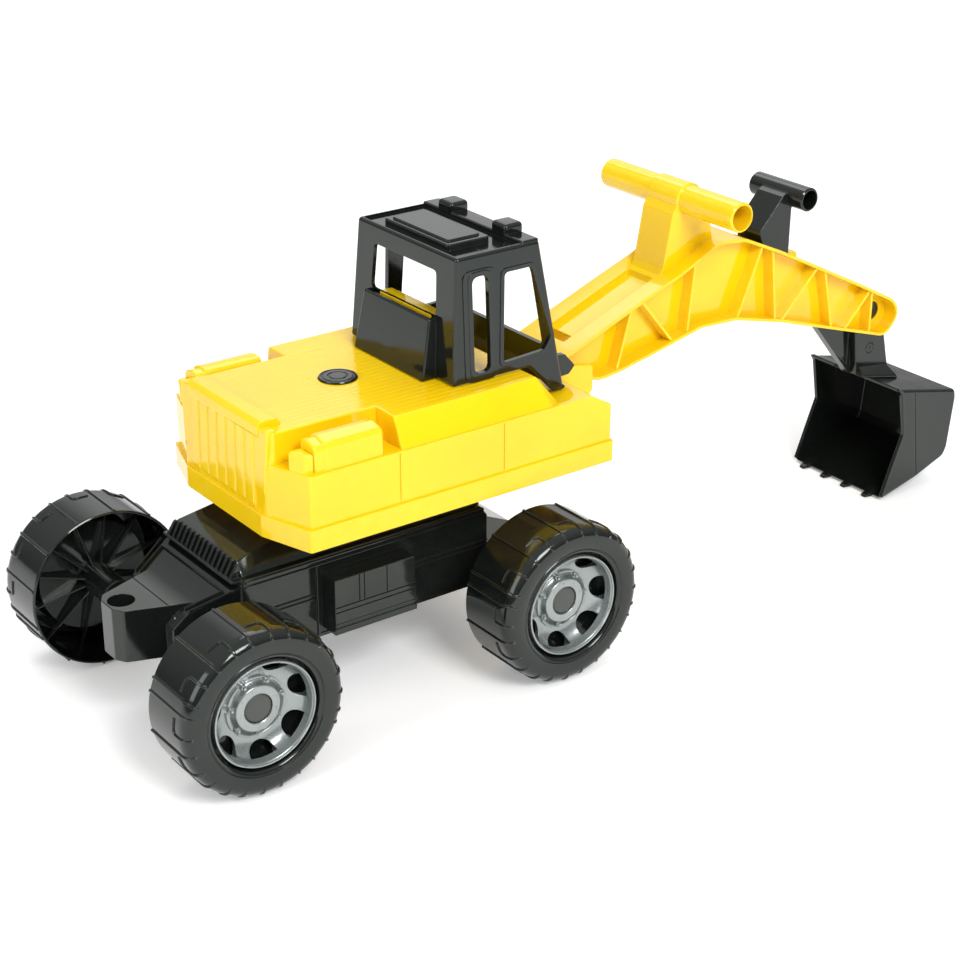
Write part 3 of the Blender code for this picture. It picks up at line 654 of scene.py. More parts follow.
def running_gear():
    """Two axle rods with collars, and a tyre, a rim and a cap on each end of both."""
    forms = (("tyre", "wheel", tyre_form(), "black_plastic"), ("rim", "rim", rim_form(), "silver_plastic"),
             ("cap", "hub_cap", hub_cap_form(), "grey_plastic"))
    for end, axle_x in (("front", FRONT_AXLE_X), ("rear", REAR_AXLE_X)):
        axle = rod((axle_x, 0, WHEEL_RADIUS), 2.4, "Y", -AXLE_END, AXLE_END, 0.6, 32)
        collars = [rod((axle_x, 0, WHEEL_RADIUS), 2.75, "Y", middle - 0.5, middle + 0.5, 0.2, 32)
                   for middle in (-61.4, 61.4)]
        present([axle] + collars, end + "_axle_rod", "chassis", "steel", end + "_axle")
        for hand, side in (("left", 1), ("right", -1)):
            turn = Matrix.Rotation(math.radians(-WINDOW_PHASE[end]), 4, "Y")
            face = Matrix.Rotation(math.pi if side > 0 else 0, 4, "Z")
            place = Matrix.Translation((axle_x, side * WHEEL_FACE, WHEEL_RADIUS))
            where = end + "_" + hand
            for look, node, form, slot in forms:
                body = "chassis" if node == "hub_cap" else where + "_wheel"
                spun = Matrix.Identity(4) if node == "wheel" else turn
                copy = moved_copy(form, place @ face @ spun)
                present([copy], look + "_" + where, body, slot, node + "_" + where)
    for form in forms:
        bpy.data.objects.remove(form[2], do_unlink=True)


# ---------- chassis

def chassis():
    made = hull(both_sides([
        (-99.2, FRAME_HALF, FRAME_BOTTOM), (-99.2, FRAME_HALF, 95.4), (-96.5, FRAME_HALF, FRAME_TOP),
        (75, FRAME_HALF, FRAME_TOP), (80, FRAME_HALF, 92), (80, FRAME_HALF, FRAME_BOTTOM),
    ]), 0.9)
    nose = hull(both_sides([
        (76, 44, 92), (76, 44, FRAME_BOTTOM + 1), (106, 34, 76), (110, 32, 70), (110, 32, FRAME_BOTTOM + 1),
    ]), 1)
    tail = hull(both_sides([
        (-96, 44.9, 95.6), (-96, 44.9, FRAME_BOTTOM + 1), (-130.2, 33.7, 81.3), (-138, 30, 72),
        (-138, 30, FRAME_BOTTOM + 1),
    ]), 0.9)
    turret = hull(both_sides([
        (-96.7, 42, FRAME_TOP - 2), (-96.7, 36, 107.5), (74, 42, FRAME_TOP - 2), (70, 36, 107.5),
        (-20, 27, TURRET_TOP), (30, 27, TURRET_TOP),
    ]), 1)
    tongue = prism(rounded([
        (-165, -7), (-161, -13.5), (-117, -29.5), (-90, -29.5), (-90, 29.5), (-117, 29.5),
        (-161, 13.5), (-165, 7),
    ], 3), "Z", 50.5, 84.8, 0.8)
    add(made, nose, tail, turret, tongue)
    for axle_x, reach in ((REAR_AXLE_X, 28), (FRONT_AXLE_X, 36)):
        for side in (-1, 1):
            add(made, rod((axle_x, 0, WHEEL_RADIUS), 7.5, "Y", *outward(side, reach, 60), 0.8))
    floor = FRAME_BOTTOM - 5
    inner = FRAME_HALF - FRAME_WALL
    cavity = box((-97, 77.5), (-inner, inner), (floor, FRAME_TOP - FRAME_WALL))
    add(cavity, hull(both_sides([
        (-93, 36, 90), (-90, 33.5, 104.5), (70, 36, 90), (66, 33.5, 104.5),
        (-20, 24, TURRET_TOP - 3), (30, 24, TURRET_TOP - 3),
    ])))
    cut(made, cavity, box((82, 104), (-30, 30), (floor, 73)), box((-134, -100), (-26, 26), (floor, 78)))
    countersink = [(0, 83.9), (TOW_HOLE_RADIUS, 83.9), (TOW_HOLE_RADIUS + 1.1, 86), (0, 86)]
    cut(made, rod(TOW_HOLE, TOW_HOLE_RADIUS, "Z", 45, 90, 0.1))
    cut(made, lathe(countersink, TOW_HOLE, "Z", 40))
    cut(made, rod((0, 0, 0), SLEW_BORE, "Z", 80, 130, 0.1))
    for axle_x in (REAR_AXLE_X, FRONT_AXLE_X):
        cut(made, rod((axle_x, 0, WHEEL_RADIUS), AXLE_BORE, "Y", -70, 70, 0.1, 24))
    cut(made, box((-136.4, -135.6), (-30, 30), (84.4, 86)))
    extras = grille() + apron_ridges()
    for side in (-1, 1):
        extras += side_details(side)
    present([made] + extras, "chassis_shell", "chassis", "black_plastic", "chassis_frame")


def grille():
    """Upright slats on the steps behind and before the platform, shorter at the rounded corners."""
    slats = []
    for i in range(SLATS):
        y = (i - (SLATS - 1) / 2) * SLAT_PITCH
        drop = 1.4 if i in (0, SLATS - 1) else 0
        rear = [(-103.4, 96.2), (-102.8, 98.9), (-98, 107.4 - drop), (-96.2, 107.9 - drop), (-95, 97)]
        front = [(70.5, 106.2), (72, 106.8), (78.5, 97.8), (77, 95), (70, 97)]
        for outline in (rear, front):
            slats.append(hull(both_sides([(x, 1.35, z) for x, z in outline], y), 0.55))
    sill = hull(both_sides([
        (-104.2, 42.5, 96.9), (-103.4, 42.5, 98.2), (-96, 43.6, 98.2), (-96, 43.6, 94),
    ]), 0.5)
    return slats + [sill]


def apron_ridges():
    """Raised border lines on the sloping apron between the grille and the tongue."""
    def at(share, y):
        return Vector((-104.5 - 25 * share, y, 93.6 - 10.7 * share))
    ridges = []
    for half_low, half_high, start in ((33.2, 43.8, 0), (28.5, 37.5, 0.12)):
        for side in (-1, 1):
            ridges.append(strip(at(start, side * half_high), at(0.97, side * half_low), 0.9, 0.55))
    ridges.append(strip(at(0.12, -37.5), at(0.12, 37.5), 0.9, 0.5))
    return ridges


def strip(start, end, width, height, sink=1.2):
    """A straight raised line between two points on an upward surface."""
    along = (end - start).normalized()
    across = along.cross(Vector((0, 0, 1))).normalized() * width / 2
    rings = []
    for point in (start, end):
        low = point - Vector((0, 0, sink))
        high = point + Vector((0, 0, height))
        rings.append([low - across, high - across * 0.7, high + across * 0.7, low + across])
    return loft(rings, 0.2, 1)


def side_details(side):
    """Rails, the tool box with its panels and the upright ribs of one chassis side."""
    def block(xs, outs, zs, edge=0.4):
        return box(xs, (side * outs[0], side * outs[1]), zs, edge)
    rails = (
        # x range, how far it stands out, z range
        ((-97, 76.5), 1.3, (96.3, 97.9)), ((-97, 76.8), 1.1, (93.4, 94.7)),
        ((-96, 79.4), 1.1, (74.4, 75.6)), ((-96, 79.4), 1.1, (71.6, 72.8)),
        ((-97, 80.4), 0.8, (FRAME_BOTTOM, FRAME_BOTTOM + 2.4)),
        ((-48.4, -46.6), 1.2, (FRAME_BOTTOM + 1, 94)),
    )
    parts = [block(xs, (43, FRAME_HALF + out), zs) for xs, out, zs in rails]
    front = 13.8
    back = -44.5
    tool_box = block((back, front), (43, 60.5), (52.2, 88.5), 0.8)
    grooves = [block((x - 0.35, x + 0.35), (59.9, 61.5), (70.8, 89.5), 0) for x in (-27, -23.4, -7)]
    grooves += [block((back - 1, front + 1), (59.9, 61.5), (z - 0.45, z + 0.45), 0) for z in (66.6, 70)]
    cut(tool_box, gather(grooves))
    plinth = block((back - 0.8, front + 0.8), (43, 61.3), (51.8, 56.2), 0.7)
    foot = block((back - 0.4, front + 0.4), (43, 60.9), (57.4, 59), 0.3)
    return parts + [tool_box, plinth, foot]


# ---------- slewing body

def body_plan(front, grow):
    """Plan of the body with its cut rear corners, grown outwards by grow."""
    half = BODY_HALF + grow
    plan = [(-81.5 - grow, -44), (-70 - grow, -half), (front, -half)]
    return plan + [(x, -y) for x, y in reversed(plan)]


def superstructure():
    """The yellow body: flange, walls, deck, spine, rear wall, boom cheeks and the fittings on them."""
    core = prism(rounded(body_plan(BODY_FRONT, 0), 2, 3), "Z", 134, LEDGE_Z)
    side_view = [(-100, 130), (BODY_FRONT, 130), (BODY_FRONT, 160.8), (136.4, LEDGE_Z), (136.4, 180),
                 (-100, 180)]
    combine(core, [slab(side_view, 100)], "INTERSECT")
    cut(core, box((96, 145), (-74.6, 74.6), (FLOOR_Z, 180)))
    refine(core, 0.8)
    flange = prism(rounded(body_plan(BODY_FRONT + 0.9, 1.8), 2, 3), "Z", *FLANGE_Z, 1)
    shoulder = BODY_HALF - 0.9
    deck = hull(both_sides([
        (-5.6, shoulder, LEDGE_Z - 1), (106, shoulder, LEDGE_Z - 1), (-7, DECK_HALF, DECK_Z),
        (98.4, DECK_HALF, DECK_Z), (117, DECK_HALF, FLOOR_Z - 1),
    ]), 1.3, 3)
    rear_half = SPINE_HALF - 0.6
    spine = hull(both_sides([
        (-81.2, 48.6, 134.5), (-78, rear_half, 134.5), (-80.2, 48.2, DECK_Z), (-76.8, rear_half, DECK_Z),
        (20, SPINE_HALF, DECK_Z), (20, SPINE_HALF, 150),
    ]), 1.3, 3)
    rear_panel = hull(both_sides([
        (-82.4, 46, 136), (-81, 50.3, DECK_Z - 8), (-80.8, 49.9, DECK_Z + 1.3),
        (-74, 50.4, DECK_Z + 1.3), (-72, 46, 136), (-72, 50.4, DECK_Z - 8),
    ]), 1.5, 4)
    lip = slab(rounded([(-81.9, DECK_Z - 6), (-81.4, 191.6), (-78.8, 194), (-69, 194), (-66, 191.2),
                        (-65.4, DECK_Z - 2)], 2.2, 4), 41.5, 1.9, 4)
    add(core, flange, deck, spine, rear_panel, lip)
    for side in (-1, 1):
        add(core, prism(rounded(cheek_outline(), 4), "Y", *outward(side, *CHEEK_Y), 0.9))
    cut(core, body_cavity())
    cut(core, box((138.5, 158), (-CHEEK_Y[0], CHEEK_Y[0]), (FLANGE_Z[1] + 0.6, 172)))
    cut(core, rod(HINGE, HINGE_BORE, "Y", -30.4, 30.4, 0.1, 24))
    add(core, rod((0, 0, 0), 14, "Z", TURRET_TOP + 0.3, DECK_Z - 1.5, 0.2))
    cut(core, rod((0, 0, 0), SLEW_BORE, "Z", 120, 195, 0.1))
    cut(core, rod((0, 0, 0), 12.4, "Z", 187.3, 195, 0.1))
    cut(core, deck_grooves(), *rear_niches())
    seams = [box((x - 0.4, x + 0.4), outward(side, BODY_HALF - 0.6, BODY_HALF + 1), (138.4, LEDGE_Z - 1.5))
             for x in (-8.1, 68) for side in (-1, 1)]
    cut(core, gather(seams))
    extras = rear_ribs() + seat()
    for side in (-1, 1):
        extras += side_pocket(side)
    present([core] + extras, "body_shell", "superstructure", "yellow_plastic", "superstructure_body")


def body_cavity():
    """The open inside of the body, less the block that stays solid round the boom cheeks."""
    cavity = prism(inset(body_plan(BODY_FRONT, 0), BODY_WALL), "Z", FLANGE_Z[0] - 5, 157.5)
    deep = BODY_HALF - 3
    ceiling = DECK_Z - BODY_WALL
    add(cavity, box((-50, 134), (-deep, deep), (150, FLOOR_Z - BODY_WALL)))
    add(cavity, prism(inset(body_plan(94, 0), 3), "Z", 150, LEDGE_Z - BODY_WALL))
    add(cavity, hull(both_sides([
        (-74, 44.2, 164), (-72, 44.2, ceiling), (95, 49.2, ceiling), (104, 49.2, 164),
    ])))
    return cut(cavity, box((132, 158), (-CHEEK_Y[1], CHEEK_Y[1]), (110, 172)))


def deck_grooves():
    """Fine lengthwise grooves over the deck, clear of the pin's seat."""
    grooves = []
    most = int((DECK_HALF - 2) / GROOVE_PITCH)
    for i in range(-most, most + 1):
        y = i * GROOVE_PITCH
        start = -61 if abs(y) < SPINE_HALF - 2 else -4
        spans = [(start, 97)]
        if abs(y) < 15:
            spans = [(start, -15.2), (15.2, 97)]
        for span in spans:
            section = [(x, half, z) for x in span for half, z in ((0.2, DECK_Z - 0.3), (1.3, DECK_Z + 0.1))]
            grooves.append(hull(both_sides(section, y)))
    return gather(grooves)


def rear_ribs():
    """Broad flat ribs down the rear wall."""
    section = [(-83, 3.6, 141.5), (-81.8, 3.5, 183.5), (-80.6, 4.4, 187), (-81.4, 4.4, 137.8)]
    first = -REAR_RIB_PITCH * (REAR_RIBS - 1) / 2
    return [hull(both_sides(section, first + i * REAR_RIB_PITCH), 0.45) for i in range(REAR_RIBS)]


def rear_niches():
    """Shallow hollow at each end of the rear wall's foot, with a round inner corner."""
    outline = [(29.5, 137.2), (47, 137.2), (47, 152.5), (36.5, 152.5), (29.5, 145)]
    return [prism(rounded([(side * y, z) for y, z in outline], 2.5), "X", -90, -81.5) for side in (-1, 1)]


def side_pocket(side):
    """Rounded tank, its collar and the small box behind it, on the ledge beside the deck."""
    tank_outline = [(59.5, 166.5), (59.5, 188), (67, 189.2), (76.6, 186.6), (77.2, 166.5)]
    outline = [(side * y, z) for y, z in rounded(tank_outline, 4, 5)]
    small = [(side * (y * 0.92 + 5.3), z - 1.2) for y, z in rounded(tank_outline, 4, 5)]
    tank = prism(outline, "X", -58.6, -17.8, 2, 4)
    collar = prism(small, "X", -64.5, -56, 1.4, 3)
    crate_plan = ((-74.3, 61.8), (-74.3, 64.5), (-70.5, 74), (-64.6, 75.6), (-64.6, 61.8))
    crate = hull([(x, side * y, z) for x, y in crate_plan for z in (166.5, 181.8)], 1.9, 4)
    return [tank, collar, crate]


def cheek_outline():
    return [(134, 146.5), (172, 146.5), (175.6, 149.5), (175.6, 167.5), (150, 172), (134, 166)]


def seat():
    foot = DECK_Z - 2
    back = prism(rounded(rectangle((50.2, 60), (foot, 227.6)), 1.5, 3), "Y", -27.8, 27.8, 1.2, 3)
    section = [(60.6, 3, 206), (60.6, 3, 221), (59, 4.4, 204.5), (59, 4.4, 222.5)]
    rolls = [hull(both_sides(section, y), 0.5) for y in (-18, -6, 6, 18)]
    outline = [(54, foot), (54, 201), (78, 203), (84, 200), (84, foot)]
    return [back, slab(rounded(outline, 2.5), 21.5, 1.2)] + rolls


def slew_pin():
    pin = lathe([
        (0, 112), (7, 112), (8.5, 114), (8.5, 187.6), (12, 187.6), (12.1, 188.2), (12.1, 190.2),
        (11.7, 190.8), (10.6, 190.9), (10.2, 190.5), (9.6, 190.5), (9.2, 190.9), (6.6, 191), (6.2, 190.6),
        (5.5, 190.6), (5.1, 191), (0, 191.1),
    ], (0, 0, 0), "Z", 72)
    present([pin], "slew_pin_head", "chassis", "black_plastic", "slew_pin")
    washer = lathe([
        (8.8, 117.7), (9.4, 117.5), (14.6, 117.5), (15, 117.9), (15, 121.1), (14.6, 121.4), (8.8, 121.4),
    ], (0, 0, 0), "Z", 48)
    teeth = []
    for angle in (math.radians(step) for step in range(0, 360, 45)):
        centre = Vector((12 * math.cos(angle), 12 * math.sin(angle), 0))
        teeth.append(rod(centre, 1.3, "Z", 116.6, 118.5, 0.3, 12))
    present([washer] + teeth, "slew_washer", "chassis", "steel", "slew_retainer")


def end_rings(centre, radii, near, far):
    """A small raised ring on each end of a pin along Y."""
    return [lathe(rectangle(radii, (side * near, side * far)), centre, "Y", 32) for side in (1, -1)]


def hinge_pin():
    pin = rod(HINGE, HINGE_BORE - 0.35, "Y", -30.1, 30.1, 0.6, 40)
    rings = end_rings(HINGE, (2, 2.5), 29.9, 30.25)
    present([pin] + rings, "boom_hinge_rod", "superstructure", "steel", "boom_hinge_pin")


# ---------- cab

def cab_half(z):
    """Half width of the cab, whose sides lean in towards the roof."""
    share = (z - DECK_Z) / (ROOF_Z - DECK_Z)
    return CAB_HALF_LOW + share * (CAB_HALF_TOP - CAB_HALF_LOW)


def leaning(outline, grow, edge=0, steps=2):
    """Extrude an (x, z) outline across the cab, following the lean of its sides."""
    rings = [[(x, side * (cab_half(z) + grow), z) for x, z in outline] for side in (-1, 1)]
    return loft(rings, edge, steps)


def cab():
    """Hollow cab with framed windows, a front that leans out at the foot, and the rear panel."""
    bottom = DECK_Z + 0.3
    shell = leaning([(46.2, bottom), (51.3, ROOF_Z), (113.4, ROOF_Z), (130.6, FLOOR_Z + 3.4),
                     (123, FLOOR_Z + 1.1), (104, bottom)], 0, 2.3, 4)
    rear_panel = hull(both_sides([
        (36.3, 37.9, bottom), (43.4, 35.6, 227.9), (49, 35.6, 227.9), (49, 37.9, bottom),
    ]), 1.2, 3)
    door = rectangle((55, 79.4), (bottom + 0.4, 260))
    slot = rectangle((61.3, 73.4), (195.3, 255.9))
    side_window = [(83.4, 197.5), (114.5, 199), (120.4, 207), (106.4, 254.2), (86, 254.2)]
    add(shell, leaning(rounded(door, 6, 5), 0.8, 0.35))
    add(shell, leaning(rounded(inset(slot, -3), 6, 5), 1.3, 0.35))
    add(shell, leaning(rounded(inset(side_window, -2.6), 4.5, 4), 0.7, 0.3), rear_panel)
    wall = CAB_WALL
    ceiling = ROOF_Z - wall - 1.5
    cavity = leaning([(46.2 + wall, bottom - 3), (51.3 + wall, ceiling), (113.4 - wall, ceiling),
                      (130.6 - wall, FLOOR_Z - 2), (100, FLOOR_Z - 2)], -wall)
    add(cavity, hull(both_sides([
        (39, 35.3, bottom - 3), (46, 32.9, 233), (50.5, 32.9, 233), (50.5, 35.3, bottom - 3),
    ])))
    cut(shell, cavity)
    roof_plan = rectangle((53.6, 110), (-50.3, 50.3))
    cut(shell, prism(rounded(roof_plan, 3), "Z", ROOF_Z - 1.7, ROOF_Z + 5))
    rear_window = [(-35.2, 227.9), (-33.4, 256.8), (33.4, 256.8), (35.2, 227.9)]
    front_window = [(-45, 197), (-43, 256), (43, 256), (45, 197)]
    cut(shell, prism(rounded(rear_window, 3.2), "X", 30, 60))
    cut(shell, prism(rounded(front_window, 4), "X", 100, 135))
    cut(shell, slab(rounded(slot, 5, 6), 70))
    cut(shell, slab(rounded(side_window, 3.2, 5), 70))
    present([shell] + cab_top() + cab_fittings(), "cab_shell", "superstructure", "black_plastic", "cab")


def cab_top():
    """Stepped roof hatch, cross bar and two rounded lamps."""
    hatch_plan = rounded(rectangle((58.5, 90), (-34.5, 34.5)), 3)
    inner_plan = rounded(rectangle((61.5, 86), (-30, 30)), 2.5)
    hatch = prism(hatch_plan, "Z", ROOF_Z - 2.5, ROOF_Z + 2.6, 1.2, 3)
    inner = prism(inner_plan, "Z", ROOF_Z, ROOF_Z + 3.9, 1.2, 3)
    bar = box((100.5, 113.4), (-52.4, 52.4), (ROOF_Z - 2.5, ROOF_Z + 1.4), 1.4, 3)
    lamps = [box((100, 114.4), (side * 20.6, side * 35.9), (ROOF_Z - 1.5, ROOF_Z + 7.4), 2.8, 4)
             for side in (-1, 1)]
    return [hatch, inner, bar] + lamps


def cab_fittings():
    """The hooks beside the boom and the small tabs at the front feet."""
    hook = rounded([(124, 172), (144, 172.6), (149, 177.5), (141, 186.5), (124, 189)], 1.5, 3)
    parts = []
    for side in (-1, 1):
        parts.append(prism(hook, "Y", *outward(side, 40.5, 45.5), 0.6))
        parts.append(box((124, 132.6), (side * 50.5, side * 56), (FLOOR_Z + 1.4, FLOOR_Z + 3.6), 0.5))
    return parts


# ---------- boom, lever and bucket

def boom_outline():
    lower = [(178.6, 151), (204, 154.3), (238.5, 161.3), (274, 169.3), (306, 168), (349.3, 157.2),
             (399.7, 141), (455.2, 123.5)]
    nose = [(464.8, 130), (469.8, 140.6), (463.5, 150.4)]
    upper = [(427.3, 169.4), (385.3, 190.5), (344.9, 210.6), (311.1, 225.6), (288.3, 227.9), (270.8, 220.1),
             (253.6, 212.4), (219.4, 199.9), (185.9, 187), (160, 177)]
    heel = [(HINGE.x + 16 * math.cos(angle), HINGE.z + 16 * math.sin(angle))
            for angle in (math.radians(step) for step in range(120, 241, 15))]
    return rounded(lower + nose + upper, 22, 4)[:-5] + [upper[-1]] + heel


def boom_ribs():
    """Foot and head of each stiffening rib in the boom's side pockets."""
    return (
        ((200, 151), (214, 200)), ((252, 162), (219, 202)), ((262, 164), (268, 222)),
        ((306, 164), (330, 220)), ((345, 155), (338, 217)), ((348, 155), (386, 193)),
        ((402, 138), (390, 191)), ((412, 134), (441, 164)), ((441, 125), (441, 165)),
    )


def grip_tube(made, centre, radius, half, segments):
    """Add a round grip to made, open at both ends and closed in the middle."""
    add(made, rod(centre, radius, "Y", -half, half, 0.9, segments))
    for side in (-1, 1):
        cut(made, rod(centre, radius - GRIP_WALL, "Y", *outward(side, 3, half + 5), 0.3, segments - 8))


def boom():
    """I-section arm with open side pockets, the lever's slot, the trough, the post and its grip."""
    outline = boom_outline()
    body = slab(outline, BOOM_HALF, 0.5, 2)
    pocket = inset(outline, 2.2)
    for side in (-1, 1):
        cut(body, prism(pocket, "Y", *outward(side, WEB_HALF, BOOM_HALF + 5)))
    channel = [(330, 230), (344, 190), (352, 172), (394, 158), (388, 120),
               (480, 100), (480, 165), (440, 195), (368, 230)]
    hollow = [(140, 130), (140, 172), (180, 180), (285, 218), (312, 215), (328, 200), (334, 150), (250, 150)]
    for opening in (channel, hollow):
        cut(body, slab(opening, LEVER_SLOT_HALF))
    trough = [(166, 200), (166, 175.4), (186, 183), (219.4, 195.9), (240, 203.6), (243.5, 216)]
    cut(body, slab(trough, 12.4, 0.8, 2))
    post = [(243, 205), (247.5, 214), (254, 250), (262, 262), (276, 262), (287, 243), (291.5, 222)]
    add(body, slab(rounded(post, 3, 3), 15, 1.6, 3))
    add(body, rod(GRIP, GRIP_RADIUS + 1.3, "Y", -15.4, 15.4, 1.1, 64))
    grip_tube(body, GRIP, GRIP_RADIUS, GRIP_HALF, 64)
    cut(body, rod(HINGE, HINGE_BORE, "Y", -40, 40, 0.1, 24))
    cut(body, rod(TIP, TIP_BORE, "Y", -40, 40, 0.1, 40))
    web_ribs = gather([prism(band(foot, head, 0.9), "Y", *outward(side, WEB_HALF - 1, BOOM_HALF - 1.5))
                       for foot, head in boom_ribs() for side in (-1, 1)])
    combine(web_ribs, [slab(inset(outline, 1), BOOM_HALF)], "INTERSECT")
    extras = [web_ribs, box((368, 378), (-10.5, 10.5), (189, 199.8), 3.2, 5)]
    present([body] + extras, "boom_arm_shell", "boom_arm", "yellow_plastic", "boom")
    pin = rod(TIP, TIP_BORE - 0.4, "Y", -WEB_HALF, WEB_HALF, 0.5, 40)
    rings = end_rings(TIP, (3.2, 3.9), WEB_HALF - 0.1, WEB_HALF + 0.3)
    present([pin] + rings, "lever_pivot_rod", "boom_arm", "black_plastic", "lever_pivot_pin")


def lever():
    """Bell crank: arm in the boom, web and shin below it, the foot on the bucket and the grip."""
    arm = [(337, 221), (343.5, 202), (352, 190), (398, 162), (412, 146), (440, 130),
           (462, 128), (468, 134), (462, 150), (446, 156.5), (372, 192.5), (366, 200),
           (366.3, 233), (369.5, 242), (364, 247), (357, 243)]
    made = slab(rounded(arm, 3, 3), LEVER_HALF, 0.8, 3)
    web = [(402, 150), (405.5, 138.5), (447, 88), (452, 86), (452, 150)]
    shin = [(443, 136), (444, 121), (448.6, 86), (484.6, 79), (479.6, 97.4), (475.7, 113.9), (467, 134)]
    foot = hull(both_sides([
        (447, 9.5, 80), (448.6, 15, 80), (488.5, 15, 76), (490.3, 12, 76),
        (448.6, 15, 90.2), (487.6, 15, 81.6), (451, 8.8, 95), (480.6, 8.8, 91),
    ]), 0.9, 3)
    add(made, slab(web, 2.7, 0.4), slab(rounded(shin, 3), 9, 1.4, 3), foot)
    add(made, slab(band((406, 139.6), (447.4, 89.4), 1.3), 3.6, 0.4))
    add(made, slab(band((443.6, 95.5), (443.6, 128), 0.8), 3.5, 0.4))
    grip_tube(made, LEVER_GRIP, LEVER_GRIP_RADIUS, LEVER_GRIP_HALF, 56)
    cut(made, rod(TIP, TIP_BORE, "Y", -40, 40, 0.1, 40))
    cut(made, slab([(425, 94.4), (495, 78.5), (495, 60), (425, 60)], 30))
    extras = []
    for i in range(4):
        x = 348 + i * 3.2
        extras.append(box((x - 0.7, x + 0.7), (-12.8, 12.8), (205 - 2.6 * i, 208 - 2.6 * i), 0.45))
    for side in (-1, 1):
        for radius, half in ((3.9, 0.45), (0.6, 0.6)):
            profile = [(radius - half, side * 8.6), (radius + half, side * 8.6),
                       (radius + half * 0.6, side * 9.45), (radius - half * 0.6, side * 9.45)]
            extras.append(lathe(profile, (461, 0, 108), "Y", 32))
    present([made] + extras, "lever_arm", "bucket_arm", "black_plastic", "bucket_lever")


def puffed(outline, centre, half, radius, steps=6):
    """Extrude an (x, z) outline from -half to half along Y, rounding both rims by radius."""
    reach = sum(math.dist(point, centre) for point in outline) / len(outline)
    turns = [math.pi / 2 * step / steps for step in range(steps + 1)]
    rings = []
    for side, order in ((-1, turns), (1, turns[::-1])):
        for turn in order:
            share = 1 - radius * (1 - math.sin(turn)) / reach
            y = side * (half - radius * (1 - math.cos(turn)))
            rings.append([(centre[0] + (x - centre[0]) * share, y, centre[1] + (z - centre[1]) * share)
                          for x, z in outline])
    return loft(rings)


def bucket():
    """Deep scoop with a rolled bead round its mouth, seamed sides and four blunt teeth."""
    outline = [(455.3, 87.2), (519.6, 72.6), (520.2, 66), (515.8, 26), (512.6, 19.3), (482.2, 8.6),
               (450.8, 1), (445, 1.6), (464, 49.5), (458.7, 82)]
    scoop = puffed(rounded(outline, 6.5, 6), (488, 52), BUCKET_HALF, 3.6)
    hollow = [(430, 90.7), (517.4, 70.8), (517.8, 65.6), (513.6, 27), (510.6, 21.3), (481.4, 10.9),
              (449, 3.2), (436, 1.5), (430, 10)]
    inner = BUCKET_HALF - BUCKET_WALL
    cut(scoop, slab(rounded(hollow, 5.5, 5), inner, 1.6, 3))
    tooth = [(440.6, 2.2, 0.2), (441.5, 2.6, 2), (454, 3.6, 5.4), (455, 3.6, 1.6), (446, 3.4, 0.1)]
    extras = [hull(both_sides(tooth, y), 0.5, 3) for y in (-32.5, -10.6, 10.6, 32.5)]
    side_bead = rounded([(455.6, 86.8), (458.7, 82), (464, 49.5), (445.6, 3), (447.6, 2.4),
                         (466.3, 49.6), (460.8, 83.5), (458.6, 86.4)], 1, 2)
    seam = [(472.4, 82.6), (473.4, 82.4), (483.5, 10.4), (482.5, 10.2)]
    for side in (-1, 1):
        extras.append(prism(side_bead, "Y", *outward(side, BUCKET_HALF - 2, BUCKET_HALF + 0.7), 0.6, 3))
        cut(scoop, prism(seam, "Y", *outward(side, BUCKET_HALF - 0.35, BUCKET_HALF + 1)))
    top_bead = rounded([(455.6, 85), (455.6, 88), (458.2, 87.3), (458.2, 84.4)], 1.2, 3)
    extras.append(prism(top_bead, "Y", 2 - BUCKET_HALF, BUCKET_HALF - 2, 0.4))
    present([scoop] + extras, "bucket_scoop", "bucket_arm", "black_plastic", "bucket")


# ---------- studio

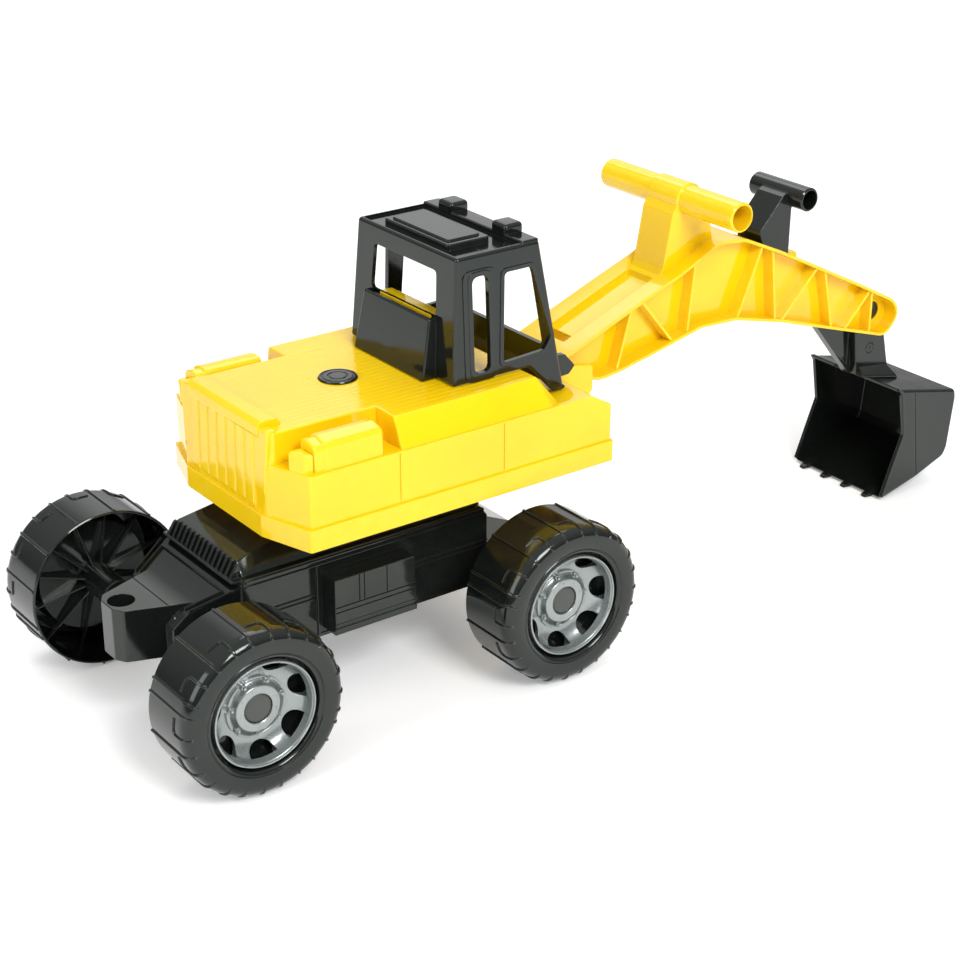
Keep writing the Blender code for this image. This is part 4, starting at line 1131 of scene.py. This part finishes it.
def studio_floor():
    """Pale floor that the camera sees fade into white away from the toy."""
    graph = material_graph("studio_floor")
    tone = graph.remap(graph.noise(1.5, 2.0), 0.3, 0.7)
    graph.set("Base Color", graph.mix(tone, (0.95, 0.95, 0.95, 1), (0.97, 0.97, 0.97, 1)))
    graph.set("Roughness", 0.6)
    graph.set("Emission Color", WHITE)
    place = graph.node("TexCoord").outputs["Object"]
    away = graph.node("VectorMath", {0: place}, operation="LENGTH").outputs["Value"]
    seen = graph.node("LightPath").outputs["Is Camera Ray"]
    fade = graph.product(graph.remap(away, 0.9, 2.6, 0.0, 0.9), seen)
    graph.set("Emission Strength", graph.sum(fade, 0.2))
    bm = bmesh.new()
    bmesh.ops.create_grid(bm, x_segments=8, y_segments=8, size=FLOOR_REACH)
    mesh = bpy.data.meshes.new("studio_floor")
    bm.to_mesh(mesh)
    bm.free()
    floor = new_object("studio_floor", mesh)
    floor.location.z = CAD_BOX[0].z - FLOOR_GAP
    floor.data.materials.append(graph.owner)


def surroundings():
    """A dome that is darker near the horizon and a broad softbox; the camera itself sees plain white."""
    sky = Graph(bpy.data.worlds.new("studio"), "Background")
    way = sky.node("TexCoord").outputs["Generated"]
    height = sky.node("SeparateXYZ", {0: way}).outputs["Z"]
    facing = sky.node("VectorMath", {0: way, 1: SOFTBOX_WAY}, operation="DOT_PRODUCT")
    dome = sky.remap(height, -0.05, 0.9, 0.12, 0.8)
    softbox = sky.remap(facing.outputs["Value"], 0.86, 0.98, 0.0, 0.8)
    direct = sky.node("LightPath").outputs["Is Camera Ray"]
    strength = sky.node("Mix", {0: direct, 2: sky.sum(dome, softbox), 3: 1.0})
    sky.set("Color", WHITE)
    sky.set("Strength", strength.outputs[0])
    bpy.context.scene.world = sky.owner


def lights():
    for name, place, size, power in LIGHTS:
        light = bpy.data.lights.new(name, "AREA")
        light.size = size
        light.energy = power
        lamp = new_object(name, light)
        lamp.location = place
        lamp.rotation_euler = (LIGHT_TARGET - lamp.location).to_track_quat("-Z", "Y").to_euler()


def camera():
    """The photo's view, from the toy's rear right."""
    seen_from = new_object("camera", bpy.data.cameras.new("camera"))
    seen_from.location = CAMERA_PLACE
    seen_from.rotation_euler = [math.radians(angle) for angle in CAMERA_TURN]
    seen_from.data.lens = CAMERA_LENS
    bpy.context.scene.camera = seen_from
    bpy.context.scene.view_settings.view_transform = "Standard"


running_gear()
chassis()
superstructure()
slew_pin()
hinge_pin()
cab()
boom()
lever()
bucket()
studio_floor()
surroundings()
lights()
camera()

bpy.context.view_layer.update()
